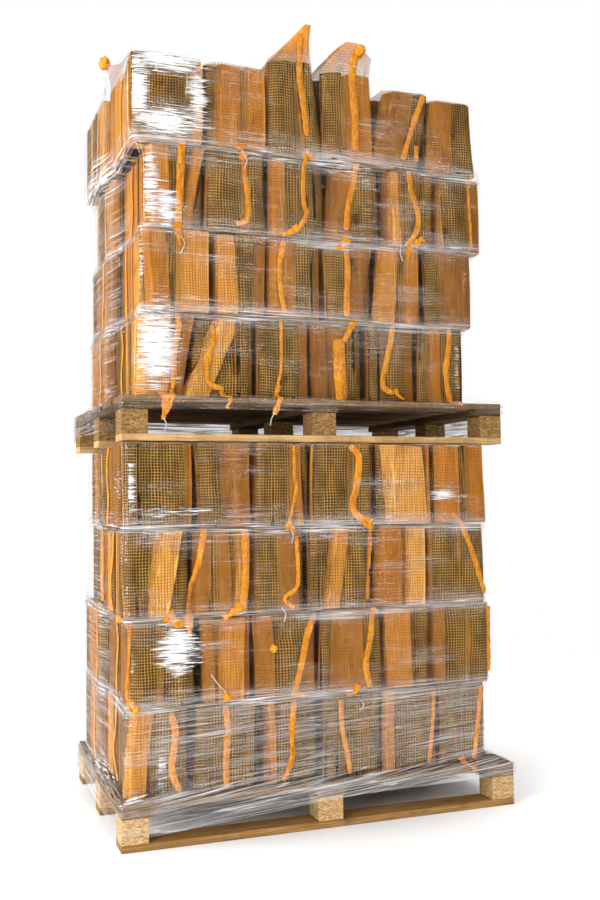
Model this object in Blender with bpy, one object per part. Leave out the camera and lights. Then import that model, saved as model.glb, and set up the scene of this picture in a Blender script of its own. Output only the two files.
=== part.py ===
# Two wooden block pallets, one on the other, each loaded with four layers of net sacks of split firewood and
# wrapped in stretch film. Metres, +Z up. X runs along the pallets' long side, and -Y is the front.
# The origin is on the floor, under the middle of the whole object's footprint.

import math
import random

import bmesh
import bpy
from mathutils import Matrix, Vector

TOUCH_GAP = 0.0003  # left between pieces that rest on each other

# The pallet: three boards under, nine blocks, three cross boards, five deck boards
PALLET_LENGTH = 1.200
PALLET_WIDTH = 0.800
UNDER_BOARD_WIDTH = 0.080
UNDER_BOARD_THICKNESS = 0.020
BLOCK_LENGTH = 0.075
BLOCK_HEIGHT = 0.068
CROSS_BOARD_WIDTH = 0.090
CROSS_BOARD_THICKNESS = 0.020
DECK_BOARD_COUNT = 5
DECK_BOARD_WIDTH = 0.118
DECK_BOARD_THICKNESS = 0.018
BOARD_EDGE = 0.0015  # sawn edges, slightly broken

BLOCK_BASE = UNDER_BOARD_THICKNESS
CROSS_BOARD_BASE = BLOCK_BASE + BLOCK_HEIGHT
DECK_BASE = CROSS_BOARD_BASE + CROSS_BOARD_THICKNESS
PALLET_HEIGHT = DECK_BASE + DECK_BOARD_THICKNESS

# The load: four layers, six sacks along the front and two sacks deep
LAYER_HEIGHT = 0.244  # the length that the logs are cut to
LAYER_COUNT = 4
LOAD_HEIGHT = LAYER_HEIGHT * LAYER_COUNT
SACK_GAP = 0.007
SACK_CORNER = 0.030  # the rounding of a sack's upright edges
SACK_RIM = 0.014  # the rounding of its top and bottom edges
SACK_CUT = 0.048  # how far the gaps between sacks go into a layer's sides
SACK_CUT_TOP = 0.020  # how far they go into its top and bottom
SACK_SHIFT = 0.008  # how far a sack's outer face stands back from its row
SACK_DROP = 0.005  # how far a sack's top stays under the layer above
JOINT_WIDTH = 0.024  # the dip between two logs of a sack, where the net sinks in
JOINT_DEPTH = 0.012
JOINT_MARGIN = 0.048  # a joint nearer than this to a sack's corner is left out
LOG_WIDTH = 0.088  # the usual width of a log on the sides that the photograph doesn't show
LOG_VARIATION = 0.012
ON_PLANE = 1e-5  # a corner this near to a plane lies on it
SEED = 12
LOG_SEED = 5

# The upper load stands a little further back and is turned a little
LIFT = PALLET_HEIGHT + LOAD_HEIGHT + TOUCH_GAP
SET_BACK = 0.035
TURN = math.radians(1.0)

# The film: a skin of several stretched turns, from under the deck up to the rim
FILM_WALL = 0.0010
FILM_GAP = 0.0008
FILM_FOOT = CROSS_BOARD_BASE  # it hangs over the deck's edge down to the underside of the cross boards
FILM_FLARE = 0.110  # the height over which it runs out from the sacks to the deck's edge
FILM_OVERLAP = 0.016  # how far the upper film's rim stands above its sacks
FILM_CORNER = 0.030

# Each layer, from the bottom up: how far the sacks stand in from the pallet edges (on the left the front row,
# then the back row), the widths of the six front sacks, left to right, as shares of the row, and where two logs
# of a sack meet: along X on the front, and along Y on the left side
LOWER_LAYERS = (
    {"left": (0.020, 0.006), "right": 0.060, "front": 0.030, "back": 0.035,
     "shares": (1.00, 1.04, 1.00, 1.02, 1.04, 0.90),
     "frontJoints": (-0.512, -0.450, -0.315, -0.235, -0.165,
                     0.090, 0.178, 0.225, 0.400, 0.490),
     "leftJoints": (-0.205, -0.050, 0.090, 0.205, 0.285)},
    {"left": (0.025, 0.004), "right": 0.050, "front": 0.020, "back": 0.030,
     "shares": (1.05, 0.85, 1.05, 1.10, 0.85, 1.10),
     "frontJoints": (-0.485, -0.330, -0.240, -0.155, -0.055, 0.025,
                     0.125, 0.192, 0.280, 0.385, 0.472),
     "leftJoints": (-0.235, -0.095, 0.060, 0.155, 0.255)},
    {"left": (0.003, 0.030), "right": 0.065, "front": 0.010, "back": 0.030,
     "shares": (1.05, 0.90, 0.90, 1.10, 0.95, 1.10),
     "frontJoints": (-0.517, -0.440, -0.340, -0.287, -0.217, -0.155,
                     -0.080, 0.065, 0.150, 0.245, 0.340, 0.435),
     "leftJoints": (-0.265, -0.125, 0.015, 0.155, 0.245)},
    {"left": (0.003, 0.024), "right": 0.068, "front": 0.006, "back": 0.012,
     "shares": (1.10, 0.90, 0.95, 1.05, 1.00, 1.00),
     "frontJoints": (-0.525, -0.400, -0.305, -0.220, -0.065,
                     0.087, 0.170, 0.322, 0.357, 0.442),
     "leftJoints": (-0.275, -0.115, 0.005, 0.100, 0.230)},
)
UPPER_LAYERS = (
    {"left": (0.050, 0.030), "right": 0.088, "front": 0.040, "back": 0.035,
     "shares": (0.90, 1.10, 1.00, 1.00, 1.00, 1.00),
     "frontJoints": (-0.300, -0.207, -0.112, -0.050, 0.032,
                     0.092, 0.135, 0.305, 0.372, 0.418),
     "leftJoints": (-0.235, -0.150, 0.025, 0.160, 0.275)},
    {"left": (0.065, 0.040), "right": 0.060, "front": 0.035, "back": 0.040,
     "shares": (1.15, 0.95, 1.00, 0.95, 0.95, 1.00),
     "frontJoints": (-0.450, -0.317, -0.252, -0.197, -0.065, 0.005,
                     0.102, 0.172, 0.264, 0.337, 0.422),
     "leftJoints": (-0.195, -0.040, 0.105, 0.195, 0.285)},
    {"left": (0.080, 0.050), "right": 0.020, "front": 0.040, "back": 0.030,
     "shares": (0.95, 1.05, 1.05, 1.00, 1.00, 0.95),
     "frontJoints": (-0.447, -0.402, -0.342, -0.220, -0.152, -0.097, -0.042,
                     0.025, 0.122, 0.235, 0.287, 0.347, 0.430),
     "leftJoints": (-0.255, -0.185, -0.010, 0.110, 0.230)},
    {"left": (0.035, 0.018), "right": 0.045, "front": 0.030, "back": 0.035,
     "shares": (1.15, 1.05, 0.92, 0.95, 0.95, 0.98),
     "frontJoints": (-0.482, -0.392, -0.322, -0.237, -0.052,
                     0.092, 0.305, 0.380, 0.462),
     "leftJoints": (-0.265, -0.155, -0.010, 0.125, 0.245)},
)

# Sacks of the upper load's top layer that stand above the others, by their place in the front row: the rise of
# the logs, the height of the gathered net over them, how far its tip leans along X and stands back from the
# front, and the tip's size as a share of the sack's top
RAISED_SACKS = {
    2: {"rise": 0.050, "net": 0.138, "lean": 0.064, "tipBack": 0.055, "tip": 0.13},
    3: {"rise": 0.040, "net": 0.112, "lean": 0.034, "tipBack": 0.055, "tip": 0.34},
}

WOOD_COLOUR = (0.60, 0.38, 0.17)
CHIP_COLOUR = (0.50, 0.31, 0.13)
SACK_COLOUR = (0.42, 0.20, 0.05)
FILM_COLOUR = (0.85, 0.86, 0.88)


def makeMaterial(name, colour, roughness, alpha=1.0):
    material = bpy.data.materials.new(name)
    material.use_nodes = True
    surface = material.node_tree.nodes["Principled BSDF"]
    surface.inputs["Base Color"].default_value = (*colour, 1.0)
    surface.inputs["Roughness"].default_value = roughness
    surface.inputs["Metallic"].default_value = 0.0
    surface.inputs["Alpha"].default_value = alpha
    return material


def addObject(name, shape, material, place):
    mesh = bpy.data.meshes.new(name)
    shape.to_mesh(mesh)
    shape.free()
    mesh.materials.append(material)
    item = bpy.data.objects.new(name, mesh)
    bpy.context.scene.collection.objects.link(item)
    item.parent = place
    return item


def boxShape(low, high):
    shape = bmesh.new()
    size = Vector(high) - Vector(low)
    centre = (Vector(high) + Vector(low)) / 2
    bmesh.ops.create_cube(shape, size=1.0, matrix=Matrix.Translation(centre) @ Matrix.Diagonal((*size, 1.0)))
    return shape


def bevelEdges(shape, edges, width, segments=1):
    bmesh.ops.bevel(shape, geom=edges, offset=width, segments=segments, profile=0.5, affect="EDGES")


def addTimber(name, low, high, material, place):
    shape = boxShape(low, high)
    bevelEdges(shape, shape.edges[:], BOARD_EDGE)
    return addObject(name, shape, material, place)


def spread(count, length, width):
    """Middles of count pieces of one width, the outer two flush with the ends of length."""
    reach = (length - width) / 2
    return [-reach + 2 * reach * index / (count - 1) for index in range(count)]


def makePallet(prefix, place, wood, chip):
    halfLength = PALLET_LENGTH / 2
    halfWidth = PALLET_WIDTH / 2
    rows = dict(zip(("front", "middle", "back"), spread(3, PALLET_WIDTH, UNDER_BOARD_WIDTH)))
    blockColumns = spread(3, PALLET_LENGTH, BLOCK_LENGTH)
    crossColumns = spread(3, PALLET_LENGTH, CROSS_BOARD_WIDTH)
    columns = dict(zip(("left", "middle", "right"), zip(blockColumns, crossColumns)))

    for row, y in rows.items():
        low = (-halfLength, y - UNDER_BOARD_WIDTH / 2, 0.0)
        high = (halfLength, y + UNDER_BOARD_WIDTH / 2, UNDER_BOARD_THICKNESS - TOUCH_GAP)
        addTimber(f"{prefix}_under_board_{row}", low, high, wood, place)
        for column, (x, _) in columns.items():
            low = (x - BLOCK_LENGTH / 2, y - UNDER_BOARD_WIDTH / 2, BLOCK_BASE)
            high = (x + BLOCK_LENGTH / 2, y + UNDER_BOARD_WIDTH / 2, CROSS_BOARD_BASE - TOUCH_GAP)
            addTimber(f"{prefix}_block_{row}_{column}", low, high, chip, place)

    for column, (_, x) in columns.items():
        low = (x - CROSS_BOARD_WIDTH / 2, -halfWidth, CROSS_BOARD_BASE)
        high = (x + CROSS_BOARD_WIDTH / 2, halfWidth, DECK_BASE - TOUCH_GAP)
        addTimber(f"{prefix}_cross_board_{column}", low, high, wood, place)

    for index, y in enumerate(spread(DECK_BOARD_COUNT, PALLET_WIDTH, DECK_BOARD_WIDTH)):
        low = (-halfLength, y - DECK_BOARD_WIDTH / 2, DECK_BASE)
        high = (halfLength, y + DECK_BOARD_WIDTH / 2, PALLET_HEIGHT)
        addTimber(f"{prefix}_deck_board_{index + 1}", low, high, wood, place)


def cutJoints(sack, along, face, inward, joints):
    """Dips between the logs, down one side of a sack: along is the axis on which the joints are counted, and
    face and inward are that side's place and inward direction on the other axis."""
    across = 1 - along
    ends = [vert.co[along] for vert in sack.verts]
    for joint in joints:
        if not min(ends) + JOINT_MARGIN < joint < max(ends) - JOINT_MARGIN:
            continue
        for step in (-0.5, 0.0, 0.5):
            cut = Vector((0.0, 0.0, 0.0))
            normal = Vector((0.0, 0.0, 0.0))
            cut[along] = joint + step * JOINT_WIDTH
            normal[along] = 1.0
            geometry = sack.verts[:] + sack.edges[:] + sack.faces[:]
            bmesh.ops.bisect_plane(sack, geom=geometry, plane_co=cut, plane_no=normal)
        for vert in sack.verts:
            behind = inward * (vert.co[across] - face)
            if abs(vert.co[along] - joint) < ON_PLANE and behind < SACK_RIM + ON_PLANE:
                vert.co[across] += inward * JOINT_DEPTH
    bmesh.ops.dissolve_limit(sack, angle_limit=math.radians(0.5), verts=sack.verts[:], edges=sack.edges[:])


def addSack(layer, low, high, joints, gather=None):
    """One sack, added to the layer's mesh: upright edges rounded, top and bottom edges eased, dips between the
    logs on its open sides, and for a sack whose net is gathered above the logs, a top that draws in to a tip."""
    sack = boxShape(low, high)
    upright = [edge for edge in sack.edges if abs(edge.verts[0].co.z - edge.verts[1].co.z) > SACK_RIM]
    bevelEdges(sack, upright, SACK_CORNER)
    caps = [face for face in sack.faces if abs(face.normal.z) > 0.9]
    rims = [edge for face in caps for edge in face.edges]
    bevelEdges(sack, rims, SACK_RIM)
    for along, face, inward, places in joints:
        cutJoints(sack, along, face, inward, places)
    if gather:
        top = max(sack.faces, key=lambda face: face.calc_center_median().z)
        lifted = bmesh.ops.extrude_discrete_faces(sack, faces=[top])["faces"][0]
        middle = lifted.calc_center_median()
        tip = Vector((middle.x + gather["lean"], low[1] + gather["tipBack"], high[2] + gather["net"]))
        for vert in lifted.verts:
            vert.co = tip + (vert.co - middle) * gather["tip"]
    mesh = bpy.data.meshes.new("sack")
    sack.to_mesh(mesh)
    sack.free()
    layer.from_mesh(mesh)
    bpy.data.meshes.remove(mesh)


def evenJoints(start, end, grain):
    """Joints between logs of about the usual width, for a side that the photograph doesn't show."""
    count = round((end - start) / LOG_WIDTH)
    step = (end - start) / count
    return [start + step * index + grain.uniform(-LOG_VARIATION, LOG_VARIATION) for index in range(1, count)]


def makeLayer(name, place, base, stand, raised, material, chance, grain):
    lefts = [-PALLET_LENGTH / 2 + inset for inset in stand["left"]]
    right = PALLET_LENGTH / 2 - stand["right"]
    front = -PALLET_WIDTH / 2 + stand["front"]
    back = PALLET_WIDTH / 2 - stand["back"]
    middle = (front + back) / 2
    top = base + LAYER_HEIGHT - TOUCH_GAP
    layer = bmesh.new()
    rows = ((lefts[0], front, middle, stand["shares"]), (lefts[1], middle, back, stand["shares"][::-1]))
    for rowIndex, (left, rowFront, rowBack, rowShares) in enumerate(rows):
        step = (right - left) / sum(rowShares)
        x = left
        for index, share in enumerate(rowShares):
            width = step * share
            shiftFront = chance.uniform(0.0, SACK_SHIFT) if rowIndex == 0 else SACK_GAP / 2
            shiftBack = chance.uniform(0.0, SACK_SHIFT) if rowIndex == 1 else SACK_GAP / 2
            drop = chance.uniform(0.0, SACK_DROP)
            low = (x + SACK_GAP / 2, rowFront + shiftFront, base)
            high = (x + width - SACK_GAP / 2, rowBack - shiftBack, top - drop)
            gather = None
            if rowIndex == 0 and index in raised:
                gather = raised[index]
                high = (high[0], high[1], top + gather["rise"])
            joints = []
            if rowIndex == 0:
                joints.append((0, low[1], 1.0, stand["frontJoints"]))
            else:
                joints.append((0, high[1], -1.0, evenJoints(low[0], high[0], grain)))
            if index == 0:
                joints.append((1, low[0], 1.0, stand["leftJoints"]))
            if index == len(rowShares) - 1:
                joints.append((1, high[0], -1.0, evenJoints(low[1], high[1], grain)))
            addSack(layer, low, high, joints, gather)
            x += width
    item = addObject(name, layer, material, place)

    coreLow = (max(lefts) + SACK_CUT, front + SACK_CUT, base + SACK_CUT_TOP)
    coreHigh = (right - SACK_CUT, back - SACK_CUT, top - SACK_CUT_TOP)
    core = addObject(f"{name}_core", boxShape(coreLow, coreHigh), material, place)
    core.hide_render = True
    core.display_type = "WIRE"
    joined = item.modifiers.new("core", "BOOLEAN")
    joined.operation = "UNION"
    joined.solver = "EXACT"
    joined.object = core


def filmRing(shape, z, left, right, front, back, corner):
    """One turn of the film seen from above: a rectangle with its corners cut twice."""
    points = []
    middles = ((right - corner, back - corner, 0), (left + corner, back - corner, 1),
               (left + corner, front + corner, 2), (right - corner, front + corner, 3))
    for x, y, quarter in middles:
        for step in (0.0, 0.5, 1.0):
            angle = math.radians(90.0 * (quarter + step))
            points.append((x + corner * math.cos(angle), y + corner * math.sin(angle), z))
    return [shape.verts.new(point) for point in points]


def makeFilm(name, place, layers, top, material):
    halfLength = PALLET_LENGTH / 2
    halfWidth = PALLET_WIDTH / 2
    deckEdge = (-halfLength, halfLength, -halfWidth, halfWidth)
    sides = [(-halfLength + min(stand["left"]), halfLength - stand["right"],
              -halfWidth + stand["front"], halfWidth - stand["back"]) for stand in layers]

    # Between two layers the film lies against the one that stands further out
    bounds = [sides[0]]
    for below, above in zip(sides, sides[1:]):
        bounds.append((min(below[0], above[0]), max(below[1], above[1]),
                       min(below[2], above[2]), max(below[3], above[3])))
    bounds.append(sides[-1])
    sharp = FILM_GAP
    rings = [(FILM_FOOT, deckEdge, sharp),
             (PALLET_HEIGHT + FILM_GAP, deckEdge, sharp),
             (PALLET_HEIGHT + FILM_FLARE, sides[0], FILM_CORNER)]
    for index in range(1, LAYER_COUNT):
        rings.append((PALLET_HEIGHT + index * LAYER_HEIGHT, bounds[index], FILM_CORNER))
        rings.append((PALLET_HEIGHT + (index + 0.5) * LAYER_HEIGHT, sides[index], FILM_CORNER))
    rings.append((top, sides[-1], FILM_CORNER))

    shape = bmesh.new()
    loops = []
    for z, (left, right, front, back), corner in rings:
        loops.append(filmRing(shape, z, left - FILM_GAP, right + FILM_GAP,
                              front - FILM_GAP, back + FILM_GAP, corner))
    for lower, upper in zip(loops, loops[1:]):
        count = len(lower)
        for index in range(count):
            following = (index + 1) % count
            shape.faces.new((lower[index], lower[following], upper[following], upper[index]))
    item = addObject(name, shape, material, place)
    wall = item.modifiers.new("wall", "SOLIDIFY")
    wall.thickness = FILM_WALL
    wall.offset = 1.0
    wall.use_even_offset = True


def addPlace(name, location, turn):
    place = bpy.data.objects.new(name, None)
    place.location = location
    place.rotation_euler = (0.0, 0.0, turn)
    bpy.context.scene.collection.objects.link(place)
    return place


def main():
    for old in list(bpy.data.objects):
        bpy.data.objects.remove(old)

    # The whole footprint is centred on the origin, the turned upper pallet's corners included
    edge = FILM_GAP + FILM_WALL
    halfLength = PALLET_LENGTH / 2 + edge
    halfWidth = PALLET_WIDTH / 2 + edge
    turnedHalfWidth = halfLength * math.sin(TURN) + halfWidth * math.cos(TURN)
    lowerY = -(SET_BACK + turnedHalfWidth - halfWidth) / 2
    lowerPlace = addPlace("lower_place", (0.0, lowerY, 0.0), 0.0)
    upperPlace = addPlace("upper_place", (0.0, lowerY + SET_BACK, LIFT), TURN)

    wood = makeMaterial("sawn_softwood", WOOD_COLOUR, 0.75)
    chip = makeMaterial("pressed_chip_block", CHIP_COLOUR, 0.85)
    sacks = makeMaterial("net_sacks_of_logs", SACK_COLOUR, 0.80)
    film = makeMaterial("clear_stretch_film", FILM_COLOUR, 0.12, alpha=0.25)

    chance = random.Random(SEED)
    grain = random.Random(LOG_SEED)
    loads = (("lower", lowerPlace, LOWER_LAYERS, {}, LIFT - 2 * TOUCH_GAP),
             ("upper", upperPlace, UPPER_LAYERS, RAISED_SACKS, PALLET_HEIGHT + LOAD_HEIGHT + FILM_OVERLAP))
    for prefix, place, layers, raised, filmTop in loads:
        makePallet(prefix, place, wood, chip)
        for index, stand in enumerate(layers):
            base = PALLET_HEIGHT + TOUCH_GAP + index * LAYER_HEIGHT
            raisedHere = raised if index == LAYER_COUNT - 1 else {}
            makeLayer(f"{prefix}_sack_layer_{index + 1}", place, base, stand, raisedHere, sacks,
                      chance, grain)
        makeFilm(f"{prefix}_stretch_film", place, layers, filmTop, film)


main()
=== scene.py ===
# Two wooden block pallets, one on the other, each loaded with four layers of orange net sacks of split
# firewood and wrapped in clear stretch film. Metres, +Z up, -Y is the front.

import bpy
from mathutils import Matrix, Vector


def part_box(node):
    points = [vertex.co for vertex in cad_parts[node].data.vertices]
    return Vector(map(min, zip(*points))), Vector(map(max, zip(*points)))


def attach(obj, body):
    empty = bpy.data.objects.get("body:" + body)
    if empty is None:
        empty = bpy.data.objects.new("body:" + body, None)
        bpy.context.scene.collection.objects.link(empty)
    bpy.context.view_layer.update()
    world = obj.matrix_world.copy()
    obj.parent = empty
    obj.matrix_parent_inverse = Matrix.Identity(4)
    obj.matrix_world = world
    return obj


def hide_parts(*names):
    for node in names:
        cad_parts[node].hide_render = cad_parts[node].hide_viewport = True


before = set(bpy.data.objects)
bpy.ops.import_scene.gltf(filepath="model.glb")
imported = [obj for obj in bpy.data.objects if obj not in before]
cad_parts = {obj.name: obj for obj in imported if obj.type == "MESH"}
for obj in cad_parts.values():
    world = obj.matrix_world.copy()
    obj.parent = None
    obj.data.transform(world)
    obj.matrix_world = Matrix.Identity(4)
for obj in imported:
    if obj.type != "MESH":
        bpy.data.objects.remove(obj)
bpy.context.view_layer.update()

import math
import random

import bmesh
import bpy
import numpy as np
from mathutils import Matrix, Vector
from mathutils.bvhtree import BVHTree

scene = bpy.context.scene
chance = random.Random(7)


# Colours and nodes

def hexColour(text):
    parts = [int(text[i:i + 2], 16) / 255 for i in (1, 3, 5)]
    return [c / 12.92 if c <= 0.04045 else ((c + 0.055) / 1.055) ** 2.4 for c in parts] + [1.0]


def newMaterial(name):
    material = bpy.data.materials.new(name)
    material.use_nodes = True
    material.node_tree.nodes.clear()
    return material, material.node_tree


def node(tree, kind, settings=None, **links):
    # Adds one node. A link is named for its input socket; numbers, colours and vectors are set on the socket.
    made = tree.nodes.new(kind)
    for key, value in (settings or {}).items():
        setattr(made, key, value)
    for key, value in links.items():
        socket = made.inputs[int(key[1:])] if key[0] == "_" else made.inputs[key.replace("_", " ")]
        if isinstance(value, bpy.types.NodeSocket):
            tree.links.new(value, socket)
        elif isinstance(value, str):
            socket.default_value = hexColour(value)
        else:
            socket.default_value = value
    return made


def ramp(tree, factor, stops):
    made = node(tree, "ShaderNodeValToRGB", Fac=factor)
    elements = made.color_ramp.elements
    while len(elements) < len(stops):
        elements.new(0.5)
    for element, (place, colour) in zip(elements, stops):
        element.position = place
        element.color = hexColour(colour) if isinstance(colour, str) else (colour, colour, colour, 1.0)
    return made.outputs["Color"]


def blend(tree, factor, first, second):
    made = node(tree, "ShaderNodeMix", {"data_type": "RGBA"})
    for key, value in (("Factor", factor), ("A", first), ("B", second)):
        socket = made.inputs["Factor"] if key == "Factor" else [s for s in made.inputs if s.name == key][-2]
        socket = {"Factor": made.inputs[0], "A": made.inputs[6], "B": made.inputs[7]}[key]
        if isinstance(value, bpy.types.NodeSocket):
            tree.links.new(value, socket)
        else:
            socket.default_value = hexColour(value) if isinstance(value, str) else value
    return made.outputs[2]


def maths(tree, what, *values):
    made = node(tree, "ShaderNodeMath", {"operation": what})
    for socket, value in zip(made.inputs, values):
        if isinstance(value, bpy.types.NodeSocket):
            tree.links.new(value, socket)
        else:
            socket.default_value = value
    return made.outputs[0]


def noise(tree, vector, scale, detail=4.0, roughness=0.5, size=(1.0, 1.0, 1.0)):
    # scale is in repeats for each metre, and size squeezes the pattern along each axis
    stretch = node(tree, "ShaderNodeMapping", Vector=vector, Scale=size)
    return node(tree, "ShaderNodeTexNoise", Vector=stretch.outputs[0], Scale=scale, Detail=detail,
                Roughness=roughness).outputs["Fac"]


def bump(tree, height, depth, strength=1.0):
    return node(tree, "ShaderNodeBump", Height=height, Distance=depth, Strength=strength).outputs[0]


def surface(tree, **links):
    shader = node(tree, "ShaderNodeBsdfPrincipled", **links)
    node(tree, "ShaderNodeOutputMaterial", Surface=shader.outputs[0])
    return shader


# Sawn softwood: planed by the saw only, so it is matt, with long grain lines, knots and grey dirt
def sawnSoftwood(name, along, shades):
    material, tree = newMaterial(name)
    place = node(tree, "ShaderNodeTexCoord").outputs["Object"]
    squeeze = (0.03, 1.0, 1.0) if along == "x" else (1.0, 0.03, 1.0)
    grain = noise(tree, place, 260.0, 5.0, 0.6, squeeze)  # grain lines about 4 mm apart
    broad = noise(tree, place, 45.0, 3.0, 0.5, squeeze)
    knots = node(tree, "ShaderNodeTexVoronoi", {"feature": "SMOOTH_F1"}, Scale=5.0, Randomness=1.0,
                 Vector=place).outputs["Distance"]
    dirt = noise(tree, place, 9.0, 6.0, 0.7)
    colour = ramp(tree, grain, tuple(zip((0.30, 0.52, 0.72), shades)))
    colour = blend(tree, ramp(tree, broad, ((0.35, 0.5), (0.62, 0.0))), colour, shades[3])
    colour = blend(tree, ramp(tree, knots, ((0.02, 0.9), (0.075, 0.0))), colour, "#5b3414")
    colour = blend(tree, ramp(tree, dirt, ((0.50, 0.0), (0.75, 0.65))), colour, shades[4])
    height = maths(tree, "ADD", grain, maths(tree, "MULTIPLY", dirt, 0.4))
    surface(tree, Base_Color=colour, Roughness=0.78, Specular_IOR_Level=0.2,
            Normal=bump(tree, height, 0.0012, 0.8))
    return material


# Pressed chip: glued flakes of light and dark wood a centimetre long, with pits between them
def pressedChip(name, shades, dirt):
    material, tree = newMaterial(name)
    place = node(tree, "ShaderNodeTexCoord").outputs["Object"]
    flakes = node(tree, "ShaderNodeTexVoronoi", Scale=260.0, Randomness=1.0,
                  Vector=node(tree, "ShaderNodeMapping", Vector=place, Scale=(0.6, 0.6, 1.5)).outputs[0])
    tone = node(tree, "ShaderNodeSeparateColor", Color=flakes.outputs["Color"]).outputs[0]
    fine = noise(tree, place, 420.0, 4.0, 0.7)
    colour = ramp(tree, tone, tuple(zip((0.0, 0.3, 0.7, 1.0), shades)))
    colour = blend(tree, ramp(tree, fine, ((0.30, 0.6), (0.42, 0.0))), colour, dirt)
    height = maths(tree, "ADD", maths(tree, "MULTIPLY", tone, 0.6), fine)
    surface(tree, Base_Color=colour, Roughness=0.85, Specular_IOR_Level=0.2,
            Normal=bump(tree, height, 0.0008, 0.7))
    return material


# Split logs: bark is dark, deeply ridged along the log; split faces are pale with long fibres; cut ends show rings.
# The colour attribute holds a log's own tone (red), bark (green) and cut end (blue).
def splitLogs(name):
    material, tree = newMaterial(name)
    place = node(tree, "ShaderNodeTexCoord").outputs["Object"]
    kind = node(tree, "ShaderNodeSeparateColor",
                Color=node(tree, "ShaderNodeAttribute", {"attribute_name": "logKind"}).outputs["Color"])
    tone, bark, end = kind.outputs[0], kind.outputs[1], kind.outputs[2]
    fibre = noise(tree, place, 230.0, 5.0, 0.65, (1.0, 1.0, 0.045))  # fibres about 4 mm apart
    streak = noise(tree, place, 40.0, 3.0, 0.6, (1.0, 1.0, 0.08))
    blotch = noise(tree, place, 14.0, 3.0, 0.5)
    wood = ramp(tree, tone, ((0.0, "#efb458"), (0.35, "#cd8a2c"), (0.6, "#ad6c20"), (0.8, "#925a1e"),
                             (1.0, "#7e481a")))
    wood = blend(tree, ramp(tree, fibre, ((0.36, 0.6), (0.55, 0.0))), wood, "#8f5418")
    wood = blend(tree, ramp(tree, streak, ((0.55, 0.0), (0.75, 0.4))), wood, "#f3c780")
    wood = blend(tree, ramp(tree, blotch, ((0.58, 0.0), (0.75, 0.45))), wood, "#744112")
    ridge = noise(tree, place, 95.0, 6.0, 0.7, (1.0, 1.0, 0.22))  # ridges about a centimetre apart
    lichen = noise(tree, place, 22.0, 4.0, 0.6)
    barkColour = ramp(tree, ridge, ((0.36, "#080401"), (0.50, "#1f1406"), (0.68, "#4a3312")))
    barkColour = blend(tree, ramp(tree, lichen, ((0.52, 0.0), (0.72, 0.5))), barkColour, "#4d4019")
    uv = node(tree, "ShaderNodeUVMap", {"uv_map": "section"}).outputs[0]
    rings = node(tree, "ShaderNodeTexWave", {"wave_type": "RINGS", "rings_direction": "Z"}, Scale=38.0,
                 Distortion=2.5, Detail=2.0, Vector=uv).outputs["Fac"]  # rings 4 mm apart
    endColour = ramp(tree, rings, ((0.0, "#b98a52"), (0.6, "#e3bf8a"), (1.0, "#eccf9f")))
    endColour = blend(tree, ramp(tree, noise(tree, place, 60.0), ((0.5, 0.0), (0.75, 0.5))), endColour, "#9a7143")
    colour = blend(tree, bark, wood, barkColour)
    colour = blend(tree, end, colour, endColour)
    height = blend(tree, bark, maths(tree, "MULTIPLY", fibre, 0.35), ridge)
    surface(tree, Base_Color=colour, Roughness=0.80, Specular_IOR_Level=0.12,
            Normal=bump(tree, height, 0.006, 0.8))
    return material


# Raschel net: knitted polyethylene tape, orange and slightly shiny, with upright chains and thinner cross threads.
# The colour attribute holds how far bark is under it (red) and how far it is gathered into folds (green).
def raschelNet(name, look):
    material, tree = newMaterial(name)
    uv = node(tree, "ShaderNodeUVMap", {"uv_map": "girth"}).outputs[0]
    place = node(tree, "ShaderNodeTexCoord").outputs["Object"]
    state = node(tree, "ShaderNodeSeparateColor",
                 Color=node(tree, "ShaderNodeAttribute", {"attribute_name": "netState"}).outputs["Color"])
    overBark, gathered = state.outputs[0], state.outputs[1]
    drift = node(tree, "ShaderNodeTexNoise", Vector=place, Scale=7.0, Detail=2.0).outputs["Color"]
    drift = node(tree, "ShaderNodeVectorMath", {"operation": "SUBTRACT"}, _0=drift, _1=(0.5, 0.5, 0.5)).outputs[0]
    drift = node(tree, "ShaderNodeVectorMath", {"operation": "SCALE"}, _0=drift, Scale=look["drift"]).outputs[0]
    uv = node(tree, "ShaderNodeVectorMath", {"operation": "ADD"}, _0=uv, _1=drift).outputs[0]
    parts = node(tree, "ShaderNodeSeparateXYZ", Vector=uv)
    masks = []
    for part, pitch, width in ((parts.outputs[0], look["chainPitch"], look["chain"]),
                               (parts.outputs[1], look["crossPitch"], look["cross"])):
        turn = maths(tree, "MULTIPLY", part, 1.0 / pitch)
        off = maths(tree, "ABSOLUTE", maths(tree, "SUBTRACT", maths(tree, "FRACT", turn), 0.5))
        half = maths(tree, "ADD", width / pitch / 2, maths(tree, "MULTIPLY", gathered, 0.26))
        masks.append(maths(tree, "LESS_THAN", off, half))
    thread = maths(tree, "MAXIMUM", *masks)
    # The threads are mottled light and dark in upright streaks: painted shading that stands for the roundness of the
    # logs under the net.
    shade = noise(tree, place, 34.0, 3.0, 0.6, (1.0, 1.0, 0.3))
    onWood = ramp(tree, shade, ((0.3, look["woodDark"]), (0.7, look["woodLight"])))
    onBark = ramp(tree, shade, ((0.32, look["barkDark"]), (0.68, look["barkLight"])))
    folded = ramp(tree, shade, ((0.3, look["foldDark"]), (0.7, look["foldLight"])))
    colour = blend(tree, gathered, blend(tree, overBark, onWood, onBark), folded)
    cover = node(tree, "ShaderNodeMapRange", Value=overBark, To_Min=look["coverWood"], To_Max=look["coverBark"])
    cover = maths(tree, "MAXIMUM", cover.outputs[0], gathered)
    surface(tree, Base_Color=colour, Roughness=0.45, Specular_IOR_Level=0.4,
            Alpha=maths(tree, "MULTIPLY", thread, cover))
    return material


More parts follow.
